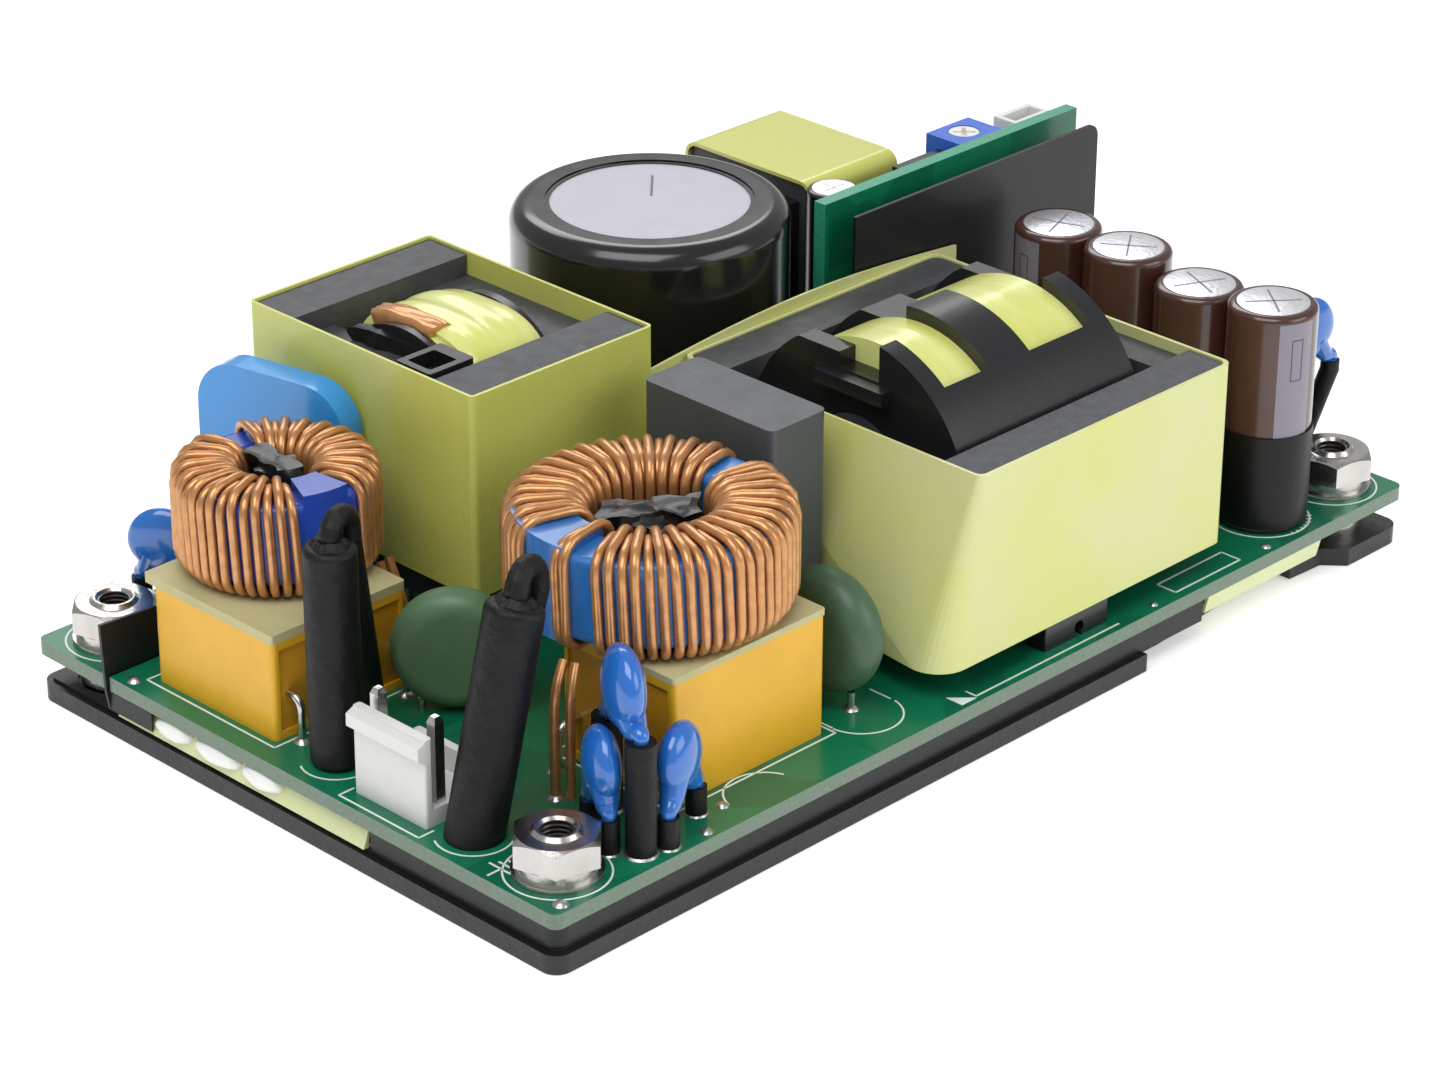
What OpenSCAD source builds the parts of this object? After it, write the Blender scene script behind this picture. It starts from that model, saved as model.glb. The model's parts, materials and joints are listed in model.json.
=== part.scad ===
// Open frame AC-DC power supply on a metal base plate.
// Own frame: +X along the long side, +Z up, origin under the middle of the plate.

/* [Base plate and board] */
// length of the plate and the board, along X
body_l = 127; // [125:0.5:132]
// width of the plate and the board, along Y
body_w = 76.2; // [75:0.2:82]
// thickness of the base plate
plate_t = 2; // [1.6:0.1:3]
// corner radius of the base plate
plate_r = 1.8; // [1:0.1:3]
// gap between the plate and the board
gap_h = 3; // [2.6:0.1:5]
// thickness of the circuit board
board_t = 1.6; // [1.2:0.1:2.4]
// corner radius of the circuit board
board_r = 1; // [0.5:0.1:2]
// depth of the shallow cut-back in the plate's front edge
notch_d = 4; // [3:0.1:4.2]
// start of the cut-back along X
notch_x = 20.3; // [18:0.1:24]
// length of the cut-back
notch_l = 27; // [20:0.5:28]

/* [Mounting studs] */
// distance of each stud's middle from the plate's edges
stud_inset = 5.715; // [5.6:0.005:5.8]
// radius of the screw hole through each stud
stud_bore_r = 1.65; // [1.5:0.05:1.8]
// outer radius of the threaded sleeve
sleeve_r = 2.5; // [2.4:0.05:2.8]
// height of the sleeve above the board
sleeve_h = 4.8; // [4.6:0.1:6]
// radius of the shoulder that holds the board up
shoulder_r = 3.8; // [3.4:0.1:4.2]
// hexagon nut across flats
nut_af = 8; // [7.5:0.1:8.4]
// hexagon nut thickness
nut_h = 2.7; // [2.4:0.1:3]
// flat washer radius
washer_r = 4.4; // [4:0.1:4.6]
// flat washer thickness
washer_t = 0.6; // [0.4:0.05:0.8]
// spring washer radius
spring_r = 4.05; // [3.8:0.05:4.2]
// spring washer thickness
spring_t = 1.1; // [0.9:0.05:1.3]

/* [Films] */
// thickness of the insulating films
film_t = 0.35; // [0.25:0.05:0.4]
// radius of the sealant beads on the pale film
bead_r = 1; // [0.7:0.05:1.1]
// height of the upright barrier film above the board
barrier_h = 5.9; // [4:0.1:8]

/* [Film capacitors] */
// left film capacitor: size along X
cap_a_l = 17.1; // [16:0.1:17.4]
// left film capacitor: size along Y
cap_a_w = 18; // [17:0.1:18.4]
// left film capacitor: height
cap_a_h = 10.5; // [9.5:0.1:11.5]
// right film capacitor: size along X
cap_b_l = 20.6; // [19:0.1:21]
// right film capacitor: size along Y
cap_b_w = 15.1; // [14:0.1:15.4]
// right film capacitor: height
cap_b_h = 13; // [12:0.1:14]
// grey film capacitor: size along X
cap_g_l = 7.9; // [7.5:0.1:8.2]
// grey film capacitor: size along Y
cap_g_w = 17.9; // [17:0.1:18.2]
// grey film capacitor: height
cap_g_h = 26.7; // [25:0.1:28]
// depth of the resin face in an open case
resin_d = 0.5; // [0.3:0.1:0.8]
// thickness of the pad under the left toroid
pad_a_t = 1; // [0.6:0.1:1.4]
// thickness of the pad under the right toroid
pad_b_t = 0.7; // [0.5:0.1:1.2]

/* [Toroidal chokes] */
// left choke: outer radius over the wire
choke_a_r = 10.5; // [10:0.1:10.8]
// left choke: height over the wire
choke_a_h = 11.7; // [11:0.1:12.5]
// left choke: turns in each of its two windings
choke_a_n = 19; // [15:2:19]
// right choke: outer radius over the wire
choke_b_r = 14.4; // [13.8:0.1:14.6]
// right choke: height over the wire
choke_b_h = 12; // [11:0.1:13]
// right choke: turns in each of its two windings
choke_b_n = 27; // [21:2:29]
// copper wire diameter
wire_d = 0.88; // [0.8:0.02:0.88]
// width of the insulated core across its ring, left choke
ring_a_w = 4.2; // [3.8:0.1:4.4]
// width of the insulated core across its ring, right choke
ring_b_w = 5.6; // [5:0.1:5.8]

/* [Fuses and input] */
// radius of the upright fuse in its sleeve
fuse_a_r = 2.65; // [2.4:0.05:2.8]
// height of the upright fuse
fuse_a_h = 23.2; // [20:0.1:24]
// radius of the leaning fuse in its sleeve
fuse_b_r = 2.9; // [2.6:0.05:3]
// length of the leaning fuse
fuse_b_h = 23; // [20:0.1:24]
// input connector: size along Y
inlet_w = 10.1; // [9.6:0.1:10.2]
// input connector: size along X
inlet_l = 7.8; // [7.4:0.1:8.2]
// input connector: height of its tall wall
inlet_h = 9.4; // [8:0.1:10]
// pitch of the two fitted pins
inlet_pitch = 7.92; // [7.5:0.01:8]
// square size of an input pin
inlet_pin = 1.14; // [0.9:0.01:1.2]

/* [Disc parts] */
// radius of the high blue disc capacitor
disc_hi_r = 4.2; // [3.8:0.05:4.4]
// radius of the other blue disc capacitors
disc_lo_r = 3.7; // [3.3:0.05:3.8]
// thickness of the blue disc capacitors
disc_t = 3.6; // [3.2:0.1:3.7]
// radius of the sleeves on their leads
sleeve_tube_r = 1.5; // [1.2:0.05:1.6]
// radius of the surge absorber disc
varistor_r = 6.4; // [6:0.1:6.5]
// thickness of the surge absorber disc
varistor_t = 4.2; // [3.8:0.1:4.4]
// radius of the inrush limiter disc
thermistor_r = 6.5; // [6:0.1:6.7]
// thickness of the inrush limiter disc
thermistor_t = 4.8; // [4.2:0.1:5]
// length of the dipped film capacitor
dipped_l = 18.6; // [18:0.1:19]
// height of the dipped film capacitor
dipped_h = 23.5; // [22:0.1:24]
// thickness of the dipped film capacitor
dipped_t = 3; // [2.6:0.1:3.1]
// radius of the bare tinned leads
lead_r = 0.42; // [0.35:0.01:0.45]

/* [Boost choke] */
// length of the core along X
boost_l = 24.9; // [24:0.1:25]
// width of the core along Y
boost_w = 33.8; // [33:0.1:33.9]
// height of the core band
boost_h = 22.2; // [21:0.1:23]
// height of the underside of the core above the board
boost_lift = 6.4; // [5.6:0.1:7]
// thickness of each outer leg
boost_leg = 6; // [5.6:0.1:6.4]
// radius of the wound coil
boost_coil_r = 11; // [10.4:0.1:11.2]

/* [Bulk capacitor] */
// radius of the can
bulk_r = 15; // [14.5:0.1:15.1]
// height of the can
bulk_h = 31.9; // [30:0.1:32]
// radius of the bare end disc
bulk_disc_r = 11.2; // [10:0.1:12]

/* [Main transformer] */
// length of the core along X
main_l = 37.8; // [37:0.1:38]
// width of the core along Y
main_w = 40; // [38:0.1:40.3]
// height of the core band
main_h = 20.4; // [19.5:0.1:21]
// height of the underside of the core above the board
main_lift = 3.2; // [3:0.1:4]
// thickness of each outer leg
main_leg = 5; // [4.6:0.1:5.2]
// length of the bobbin
main_bobbin_l = 27.1; // [26.8:0.1:27.4]
// step from the bobbin flanges down to the left coil
main_coil_a_in = 1.4; // [1.2:0.1:1.8]
// step from the bobbin flanges down to the right coil
main_coil_b_in = 1.2; // [1.1:0.1:1.8]
// outward lean of the tape at the foot of the left side
main_lean = 5.2; // [4:0.1:5.4]

/* [Auxiliary transformer] */
// size over the tape along X
aux_l = 15.2; // [14.4:0.1:15.4]
// size over the tape along Y
aux_w = 19.2; // [18.5:0.1:19.3]
// height of the top above the board
aux_h = 29.4; // [27:0.1:30]

/* [Daughter board] */
// length of the daughter board
daughter_l = 41; // [40:0.1:41.4]
// height of the daughter board
daughter_h = 31.5; // [30:0.1:31.8]
// thickness of the daughter board
daughter_t = 1.6; // [1.2:0.1:1.7]
// length of the black sheet in front of it
sheet_l = 39.6; // [39:0.1:40]
// height of the black sheet
sheet_h = 30.9; // [29:0.1:31.5]
// trimmer body size along X
trimmer_l = 6.9; // [6.4:0.1:7]
// trimmer body size along Y
trimmer_w = 5; // [4.8:0.1:5.2]
// trimmer body height
trimmer_h = 5.1; // [4.6:0.1:5.4]
// radius of the turning screw
rotor_r = 1.7; // [1.5:0.05:1.8]
// running clearance around the turning screw
rotor_gap = 0.05; // [0.03:0.01:0.08]

/* [Output side] */
// radius of the output capacitors
output_r = 4.8; // [4.5:0.05:4.85]
// pitch of the output capacitors
output_pitch = 9.85; // [9.8:0.01:10]
// height of the tallest output capacitor
output_h = 25.4; // [24:0.1:26]
// height of the black jacket on the front one
jacket_h = 11.3; // [9:0.1:13]
// radius of the small capacitor by the daughter board
small_r = 3; // [2.8:0.05:3.1]
// length of the small capacitor
small_h = 16; // [12:0.1:18]
// width of each output terminal
terminal_w = 6.4; // [5.8:0.1:6.6]
// radius of the terminal screw shanks
terminal_screw_r = 2; // [1.6:0.05:2.2]

/* [Hidden] */
$fn = 48;
far = 60;
eps = 0.01;
board_z0 = plate_t + gap_h;
board_z = board_z0 + board_t;
edge_x = body_l / 2;
edge_y = body_w / 2;
stud_px = body_l - 2 * stud_inset;
stud_py = body_w - 2 * stud_inset;
sleeve_z = board_z + sleeve_h;
washer_z = board_z;
spring_z = washer_z + washer_t;
nut_z = spring_z + spring_t;
stud_fit = 0.12;
film_z = plate_t;
pale_z = plate_t + film_t;

cap_a = [-60.4, 4.4];
cap_b = [-42.1, -31.7];
cap_g = [-16.8, -19.8];
cap_a_z = board_z + cap_a_h;
cap_b_z = board_z + cap_b_h;
choke_a = [-49, 16.6];
choke_b = [-32.3, -18.8];
choke_a_z = cap_a_z + pad_a_t;
choke_b_z = cap_b_z + pad_b_t;
choke_a_turn = -99;
choke_b_turn = 174;
choke_a_gap = 34;
choke_b_gap = 20;
back_gap = 14;

fuse_a = [-58.6, -2.6];
fuse_b = [-58.8, -22.2];
fuse_b_lean = 12.6;
fuse_b_turn = -9;
inlet = [-61.3, -18.3];

boost = [-34.7, 3.6];
boost_y = boost[1] + boost_w / 2;
boost_z0 = board_z + boost_lift;
boost_z = boost_z0 + boost_h / 2;
tape_t = 0.35;

bulk = [8.1, 22.3];

main_x0 = -4.6;
main_y0 = -36.2;
main_yc = main_y0 + main_w / 2;
main_zc = board_z + 15.9;
main_z0 = board_z + main_lift;
main_z1 = main_z0 + main_h;
main_xb = main_x0 + 3.9;
main_flange_r = main_w / 2 - main_leg - 0.1;
main_coil_a_r = main_flange_r - main_coil_a_in;
main_coil_b_r = main_flange_r - main_coil_b_in;
main_lean_back = 1.3;

aux = [26.9, 17.2];
daughter = [20.7, 8.6];
sheet = [21.5, 4.9];
sheet_t = 0.4;
trimmer_x = 43.9;
rotor_x = trimmer_x + trimmer_l / 2;
rotor_y = daughter[1] + daughter_t + trimmer_w / 2;
trimmer_z1 = board_z + daughter_h;
trimmer_z0 = trimmer_z1 - trimmer_h;
rotor_h = 1.5;
output_x = 46.4;
output_y = -2.2;
output_drop = [0.2, 0, 1.3, 0.4];
small = [27.8, 14];
small_z = 36.5;
terminal_x = 54;
terminal_y = [13.2, 20.4];

// ---- shared shapes ----

module round_square(l, w, r) {
  translate([r, 0]) square([l - 2 * r, w]);
  translate([0, r]) square([l, w - 2 * r]);
  for (x = [r, l - r], y = [r, w - r]) translate([x, y]) circle(r);
}

// box with round upright edges, from its low corner
module block(at, size, r = 0.5) {
  translate(at) linear_extrude(size[2]) round_square(size[0], size[1], r);
}

// round rod between two points, tapered when r2 is given
module rod(a, b, r, r2 = -1) {
  d = b - a;
  l = norm(d);
  translate(a) rotate([0, atan2(norm([d[0], d[1]]), d[2]), atan2(d[1], d[0])])
    cylinder(r1 = r, r2 = r2 < 0 ? r : r2, h = l);
}

// bent wire through a list of points
module wire(points, r) {
  for (i = [0:len(points) - 2]) rod(points[i], points[i + 1], r);
  for (i = [1:len(points) - 2]) translate(points[i]) sphere(r * 1.02);
}

// can with a rounded foot and shoulder
module can(r, h, edge) {
  rotate_extrude() {
    square([r - edge, h]);
    translate([0, edge]) square([r, h - 2 * edge]);
    for (z = [edge, h - edge]) translate([r - edge, z]) circle(edge);
  }
}

// coated disc standing on edge, axis along Y before it is turned
module coated_disc(r, t) {
  rotate([90, 0, 0]) translate([0, 0, -t / 2]) can(r, t, min(t, r) / 2 - 0.05);
}

// disc capacitor: a coated disc whose two coated legs end in the sleeves
module disc_capacitor(at, r, t, turn, feet) {
  translate(at) rotate([0, 0, turn]) coated_disc(r, t);
  for (s = [0, 1]) {
    side = (s == 0 ? -1 : 1) * r * 0.62;
    top = at + [side * cos(turn), side * sin(turn), -r * 0.6];
    knee = feet[s] + [0, 0, 1];
    rod(feet[s], knee, 0.7);
    rod(knee, top, 0.7, 1.1);
  }
}

module at_studs() {
  for (x = [-1, 1], y = [-1, 1]) translate([x * stud_px / 2, y * stud_py / 2, 0]) children();
}

// ---- plate, studs and board ----

module base_plate() {
  color("#3a3a3c") difference() {
    block([-edge_x, -edge_y, 0], [body_l, body_w, plate_t], plate_r);
    translate([notch_x, -edge_y - 1, -1]) linear_extrude(plate_t + 2) {
      square([notch_l, notch_d * 0.73 + 1]);
      polygon([[0, 0], [notch_l, 0], [notch_l, notch_d + 1], [notch_l * 0.62, notch_d + 1],
        [notch_l * 0.2, notch_d * 0.73 + 1], [0, notch_d * 0.73 + 1]]);
      polygon([[notch_l - eps, 0], [notch_l - eps, notch_d * 0.62 + 1],
        [notch_l + 5, notch_d * 0.55 + 1], [notch_l + 7, 1], [notch_l + 7, 0]]);
    }
    at_studs() translate([0, 0, -1]) cylinder(r = sleeve_r, h = plate_t + 2);
  }
}

module mounting_studs() {
  color("#b9bbbd") at_studs() rotate_extrude() polygon([[stud_bore_r, 0], [sleeve_r, 0],
    [sleeve_r, plate_t], [shoulder_r, plate_t], [shoulder_r, board_z0], [sleeve_r, board_z0],
    [sleeve_r, sleeve_z - 0.4], [sleeve_r - 0.35, sleeve_z], [stud_bore_r + 0.25, sleeve_z],
    [stud_bore_r, sleeve_z - 0.3]]);
}

module hex_nuts() {
  color("#c3c5c6") at_studs() translate([0, 0, nut_z]) difference() {
    intersection() {
      rotate([0, 0, 45]) linear_extrude(nut_h) circle(r = nut_af / sqrt(3), $fn = 6);
      rotate_extrude() polygon([[0, -1], [nut_af / sqrt(3) + 0.3, -1], [nut_af / sqrt(3) + 0.3, nut_h - 0.6],
        [nut_af / 2 - 0.2, nut_h + 0.05], [0, nut_h + 0.05]]);
    }
    translate([0, 0, -1]) cylinder(r = sleeve_r, h = nut_h + 2);
  }
}

module spring_washers() {
  color("#9fa1a3") at_studs() translate([0, 0, spring_z]) difference() {
    cylinder(r = spring_r, h = spring_t);
    translate([0, 0, -1]) cylinder(r = sleeve_r + stud_fit, h = spring_t + 2);
    rotate([0, 0, 20]) translate([sleeve_r - 1, -0.25, -1]) cube([spring_r, 0.5, spring_t + 2]);
  }
}

module flat_washers() {
  color("#b4b6b8") at_studs() translate([0, 0, washer_z]) difference() {
    cylinder(r = washer_r, h = washer_t);
    translate([0, 0, -1]) cylinder(r = sleeve_r + stud_fit, h = washer_t + 2);
  }
}

slot_y = 26.3;
slot_w = 0.8;
slot_l = 6.7;

module circuit_board() {
  color("#1c7a55") difference() {
    block([-edge_x, -edge_y, board_z0], [body_l, body_w, board_t], board_r);
    at_studs() cylinder(r = sleeve_r + stud_fit, h = far);
    translate([-edge_x - 1, slot_y, 0]) cube([slot_l + 1, slot_w, far]);
  }
}

// ---- films between the plate and the board ----

wall_top = board_z0 - 0.15;
film_in = 0.7;
stop_y = -12;
stop_x = 30;

module insulation_sheet() {
  color("#1d1e20") difference() {
    union() {
      block([-edge_x + film_in, -edge_y + notch_d + 0.6, film_z],
        [body_l - 2 * film_in, body_w - notch_d - 0.6 - film_in, film_t], 1);
      block([-edge_x + film_in, -edge_y + film_in, film_z],
        [notch_x + edge_x - film_in - 0.4, 12, film_t], 1);
      intersection() {
        difference() {
          block([-edge_x + film_in, -edge_y + film_in, film_z],
            [body_l, body_w, wall_top - film_z], 1.4);
          block([-edge_x + film_in + film_t, -edge_y + film_in + film_t, film_z - 1],
            [body_l, body_w, gap_h + 2], 1.4 - film_t);
        }
        union() {
          translate([-edge_x, -edge_y, film_z]) cube([4, stop_y + edge_y, gap_h]);
          translate([-edge_x, -edge_y, film_z]) cube([stop_x + edge_x, 4, gap_h]);
        }
      }
    }
    at_studs() cylinder(r = shoulder_r + 0.3, h = board_z0);
  }
}

pale_y0 = -11.4;
pale_y1 = 25.6;
flap_x0 = 31;
flap_x1 = 50;

module pale_film() {
  color("#d8dcae") {
    difference() {
      block([-edge_x + 1.5, -edge_y + notch_d + 0.8, pale_z], [flap_x1 + edge_x - 1.5, 60, film_t], 1);
      at_studs() cylinder(r = shoulder_r + 0.3, h = board_z0);
    }
    translate([0, pale_y1, 0]) rotate([90, 0, 0]) linear_extrude(pale_y1 - pale_y0)
      polygon([[-edge_x + 0.3, pale_z], [-edge_x + 2, pale_z], [-edge_x + 2, pale_z + film_t],
        [-edge_x + 0.9, pale_z + film_t], [-edge_x + 1.6, wall_top], [-edge_x + 1.2, wall_top]]);
    translate([flap_x0, 0, 0]) rotate([90, 0, 90]) linear_extrude(flap_x1 - flap_x0)
      polygon([[-edge_y + 0.9, wall_top], [-edge_y + 0.6, wall_top - 0.1], [-edge_y + 1.2, pale_z],
        [-edge_y + notch_d + 1.2, pale_z], [-edge_y + notch_d + 1.2, pale_z + film_t],
        [-edge_y + 1.5, pale_z + film_t]]);
  }
}

module sealant_beads() {
  color("#eef0ee") difference() {
    for (y = [2, 8.5, 15]) translate([-edge_x + 0.9, y, pale_z + 1.4]) {
      sphere(bead_r);
      rotate([-90, 0, 0]) cylinder(r = bead_r, h = 3.6);
      translate([0, 3.6, 0]) sphere(bead_r);
    }
    translate([0, pale_y1, 0]) rotate([90, 0, 0]) linear_extrude(pale_y1 - pale_y0)
      polygon([[-edge_x + 0.3, pale_z], [-edge_x - 2, pale_z - 3], [-edge_x + 6, pale_z - 3],
        [-edge_x + 6, wall_top + 2], [-edge_x + 1.2, wall_top + 2], [-edge_x + 1.2, wall_top]]);
  }
}

module barrier_film() {
  color("#202123") {
    translate([0, slot_y + 0.2 + film_t, 0]) rotate([90, 0, 0]) linear_extrude(film_t)
      polygon([[-edge_x + 0.1, pale_z + film_t + 0.1], [-edge_x + slot_l - 0.2, pale_z + film_t + 0.1],
        [-edge_x + slot_l - 0.2, board_z + barrier_h - 0.4], [-edge_x - 0.6, board_z + barrier_h],
        [-edge_x - 0.3, board_z0]]);
    translate([-edge_x + 0.1, pale_y1 - 5.6, pale_z + film_t + 0.1])
      cube([film_t * 0.6, slot_y - pale_y1 + 6, wall_top - pale_z - film_t - 0.1]);
  }
}

// ---- film capacitors and their leads ----

module film_capacitor_left() {
  color("#e0b83a") difference() {
    block([cap_a[0], cap_a[1], board_z], [cap_a_l, cap_a_w, cap_a_h], 0.6);
    translate([cap_a[0] + 0.8, cap_a[1] - 1, board_z + 0.8])
      cube([cap_a_l - 1.6, resin_d + 1, cap_a_h - 1.6]);
  }
}

module film_capacitor_right() {
  color("#e0b83a") difference() {
    block([cap_b[0], cap_b[1], board_z], [cap_b_l, cap_b_w, cap_b_h], 0.6);
    translate([cap_b[0] - 1, cap_b[1] + 0.8, board_z + 0.8])
      cube([resin_d + 1, cap_b_w - 1.6, cap_b_h - 1.6]);
  }
}

module film_capacitor_grey() {
  color("#4c5258") block([cap_g[0], cap_g[1], board_z], [cap_g_l, cap_g_w, cap_g_h], 0.9);
}

module toroid_pads() {
  color("#cfc9a0") {
    block([cap_a[0], cap_a[1], cap_a_z], [cap_a_l, cap_a_w + 1.4, pad_a_t], 0.3);
    block([cap_b[0], cap_b[1], cap_b_z], [cap_b_l, cap_b_w, pad_b_t], 0.3);
  }
}

// wire that comes out level from a face, bends down and ends in the board
module bent_lead(at, turn, out, bend) {
  translate(at) rotate([0, 0, turn]) {
    rotate([0, 90, 0]) cylinder(r = lead_r, h = out);
    translate([out, 0, -bend]) rotate([90, 0, 0]) rotate_extrude(angle = 90) translate([bend, 0]) circle(lead_r);
    translate([out + bend, 0, board_z - at[2]]) cylinder(r = lead_r, h = at[2] - bend - board_z);
  }
}

module tinned_leads() {
  z_film = board_z + 4.6;
  v = 3.4;
  v_top = varistor_at[2] - sqrt(pow(varistor_r, 2) - pow(v - lead_r, 2)) - 0.02;
  t_z = thermistor_at[2] - thermistor_r + 0.7;
  s_z = small_z - small_h;
  color("#c9cacb") {
    for (x = [-58.4, cap_a[0] + cap_a_l - 1.7])
      bent_lead([x, cap_a[1] + resin_d, z_film], -90, 0.9, 1.2);
    for (y = [-18.6, -29])
      bent_lead([cap_b[0] + resin_d, y, z_film], 180, 1.4, 1.6);
    for (y = [-30.2, -23.8])
      rod([thermistor_at[0], y, board_z], [thermistor_at[0], y, t_z], lead_r);
    for (s = [-v, v]) {
      p = varistor_at + [s * cos(varistor_turn), s * sin(varistor_turn), 0];
      rod([p[0], p[1], board_z], [p[0], p[1], v_top], lead_r);
    }
    for (s = [-7, 7]) {
      q = dipped_at + [s * cos(dipped_turn), s * sin(dipped_turn), 0];
      rod([q[0], q[1], board_z], [q[0], q[1], board_z + 1.9], lead_r);
    }
    for (x = [small[0] - 1, small[0] + 1])
      wire([[x, small[1], s_z], [x, small[1], s_z - 2], [x, daughter[1] + daughter_t, s_z - 2]], lead_r);
  }
}

// ---- toroidal chokes ----

lift = 0.62;
wire_fit = 0.06;

// one closed turn round the ring, in the XZ plane, on its centre line
module turn(r0, r1, z0, z1, bend) {
  r = wire_d / 2;
  for (z = [z0, z1]) rod([r0 + bend, 0, z], [r1 - bend, 0, z], r);
  for (x = [r0, r1]) rod([x, 0, z0 + bend], [x, 0, z1 - bend], r);
  for (c = [[r1 - bend, z1 - bend, 0], [r0 + bend, z1 - bend, 90], [r0 + bend, z0 + bend, 180],
    [r1 - bend, z0 + bend, 270]])
    translate([c[0], 0, c[1]]) rotate([90, 0, 0]) rotate([0, 0, c[2]])
      rotate_extrude(angle = 90) translate([bend, 0]) circle(r, $fn = 16);
}

// two windings of n turns on a ring; every other turn lies one wire deeper
module winding(outer, h, ring_w, n, start, gap) {
  span = (360 - gap - back_gap) / 2;
  for (w = [0, 1], i = [0:n - 1]) {
    deep = i % 2;
    a = start + gap / 2 + w * (span + back_gap) + (i + 0.5) * span / n;
    rotate([0, 0, a]) turn(outer - 1.5 * wire_d - ring_w - 2 * wire_fit - deep * wire_d, outer - wire_d / 2,
      wire_d / 2 + (1 - deep) * lift, h - wire_d / 2 - (1 - deep) * lift, 1.3);
  }
}

module ring_core(outer, h, ring_w) {
  z0 = wire_d + lift + wire_fit;
  rotate_extrude() translate([outer - wire_d - wire_fit - ring_w, z0])
    round_square(ring_w, h - 2 * z0, 0.8);
}

module choke_core_left() {
  color("#2b46a8") translate([choke_a[0], choke_a[1], choke_a_z]) ring_core(choke_a_r, choke_a_h, ring_a_w);
}

module choke_core_right() {
  color("#2f76bd") translate([choke_b[0], choke_b[1], choke_b_z]) ring_core(choke_b_r, choke_b_h, ring_b_w);
}

module choke_winding_left() {
  color("#c98a55") {
    translate([choke_a[0], choke_a[1], choke_a_z])
      winding(choke_a_r, choke_a_h, ring_a_w, choke_a_n, choke_a_turn, choke_a_gap);
    for (x = [-42.2, -40.8])
      rod([x, 8.2, board_z], [x, 8.2, choke_a_z - 0.1], wire_d / 2);
  }
}

module choke_winding_right() {
  color("#c98a55") {
    translate([choke_b[0], choke_b[1], choke_b_z])
      winding(choke_b_r, choke_b_h, ring_b_w, choke_b_n, choke_b_turn, choke_b_gap);
    wire([[-46.2, -21.6, choke_b_z - 0.6], [-48.6, -22.4, choke_b_z - 3], [-48.6, -22.4, board_z]], wire_d / 2);
    wire([[-19.4, -16.4, choke_b_z - 0.6], [-19.9, -14.4, choke_b_z - 5], [-19.9, -14.4, board_z]], wire_d / 2);
  }
}

// black leaf that keeps the two windings of a choke apart
module divider(at, z, inner, h, turn, t) {
  translate([at[0], at[1], z]) rotate([0, 0, turn])
    translate([-inner, -t / 2, 0]) linear_extrude(h) round_square(2 * inner, t, 0.3);
}

module choke_dividers() {
  color("#1c1c1e") {
    divider(choke_a, choke_a_z, choke_a_r - wire_d - ring_a_w - 0.2, choke_a_h - 0.4, choke_a_turn, 0.8);
    divider(choke_b, choke_b_z, choke_b_r - wire_d - ring_b_w - 0.2, choke_b_h - 1.2, choke_b_turn, 1.4);
  }
}

// ---- fuses and input connector ----

module fuse_left() {
  color("#2e2e2f") translate([fuse_a[0], fuse_a[1], board_z]) can(fuse_a_r, fuse_a_h, 0.7);
}

module fuse_front() {
  color("#2e2e2f") difference() {
    translate([fuse_b[0], fuse_b[1], board_z]) rotate([0, fuse_b_lean, fuse_b_turn])
      translate([0, 0, -1]) can(fuse_b_r, fuse_b_h + 1.4, 0.8);
    translate([fuse_b[0] - 10, fuse_b[1] - 10, 0]) cube([20, 20, board_z]);
  }
}

fuse_a_z = board_z + fuse_a_h;
fuse_b_dir = [sin(fuse_b_lean) * cos(fuse_b_turn), sin(fuse_b_lean) * sin(fuse_b_turn), cos(fuse_b_lean)];
fuse_b_top = [fuse_b[0], fuse_b[1], board_z] + (fuse_b_h + 0.4) * fuse_b_dir;

// sleeve that leaves the top of a fuse, turns over and goes down to the board
module sleeve_over(at, turn, r, bend, foot) {
  rise = 0.3;
  p = at + [2 * bend * cos(turn), 2 * bend * sin(turn), rise];
  translate(at) rotate([0, 0, turn]) {
    cylinder(r = r, h = rise);
    translate([bend, 0, rise]) rotate([90, 0, 0]) rotate_extrude(angle = 180) translate([bend, 0]) circle(r);
  }
  wire([p, p - [0, 0, 1], foot + [0, 0, 1.5], foot], r);
}

module lead_sleeves() {
  $fn = 20;
  color("#2a2a2b") {
    sleeve_over([fuse_a[0], fuse_a[1], fuse_a_z], 19, 1.1, 1.9, [-49.2, 2.8, board_z]);
    sleeve_over(fuse_b_top + [0, 0, 0.3], 19, 1.15, 2.1, [fuse_b[0] + 4.4, fuse_b[1] + 2.3, board_z]);
  }
}

pin_x = inlet[0] + 2.4;
pin_y0 = inlet[1] + (inlet_w - inlet_pitch) / 2;

module input_connector() {
  color("#e6e6e6") difference() {
    union() {
      block([inlet[0], inlet[1], board_z], [inlet_l, inlet_w, 1.8], 0.3);
      block([inlet[0], inlet[1], board_z], [1, inlet_w, inlet_h], 0.3);
      block([inlet[0] + inlet_l - 0.9, inlet[1] + 0.6, board_z], [0.9, inlet_w - 1.2, 4.4], 0.3);
      translate([0, inlet[1] + inlet_w, 0]) rotate([90, 0, 0]) linear_extrude(inlet_w)
        polygon([[inlet[0] + 0.5, board_z + inlet_h - 2.9], [inlet[0] - 0.8, board_z + inlet_h - 1.9],
          [inlet[0] - 0.8, board_z + inlet_h - 0.6], [inlet[0] + 0.5, board_z + inlet_h]]);
    }
    for (i = [0, 1]) translate([pin_x, pin_y0 + i * inlet_pitch, 0]) linear_extrude(far)
      square(inlet_pin, center = true);
  }
}

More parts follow.
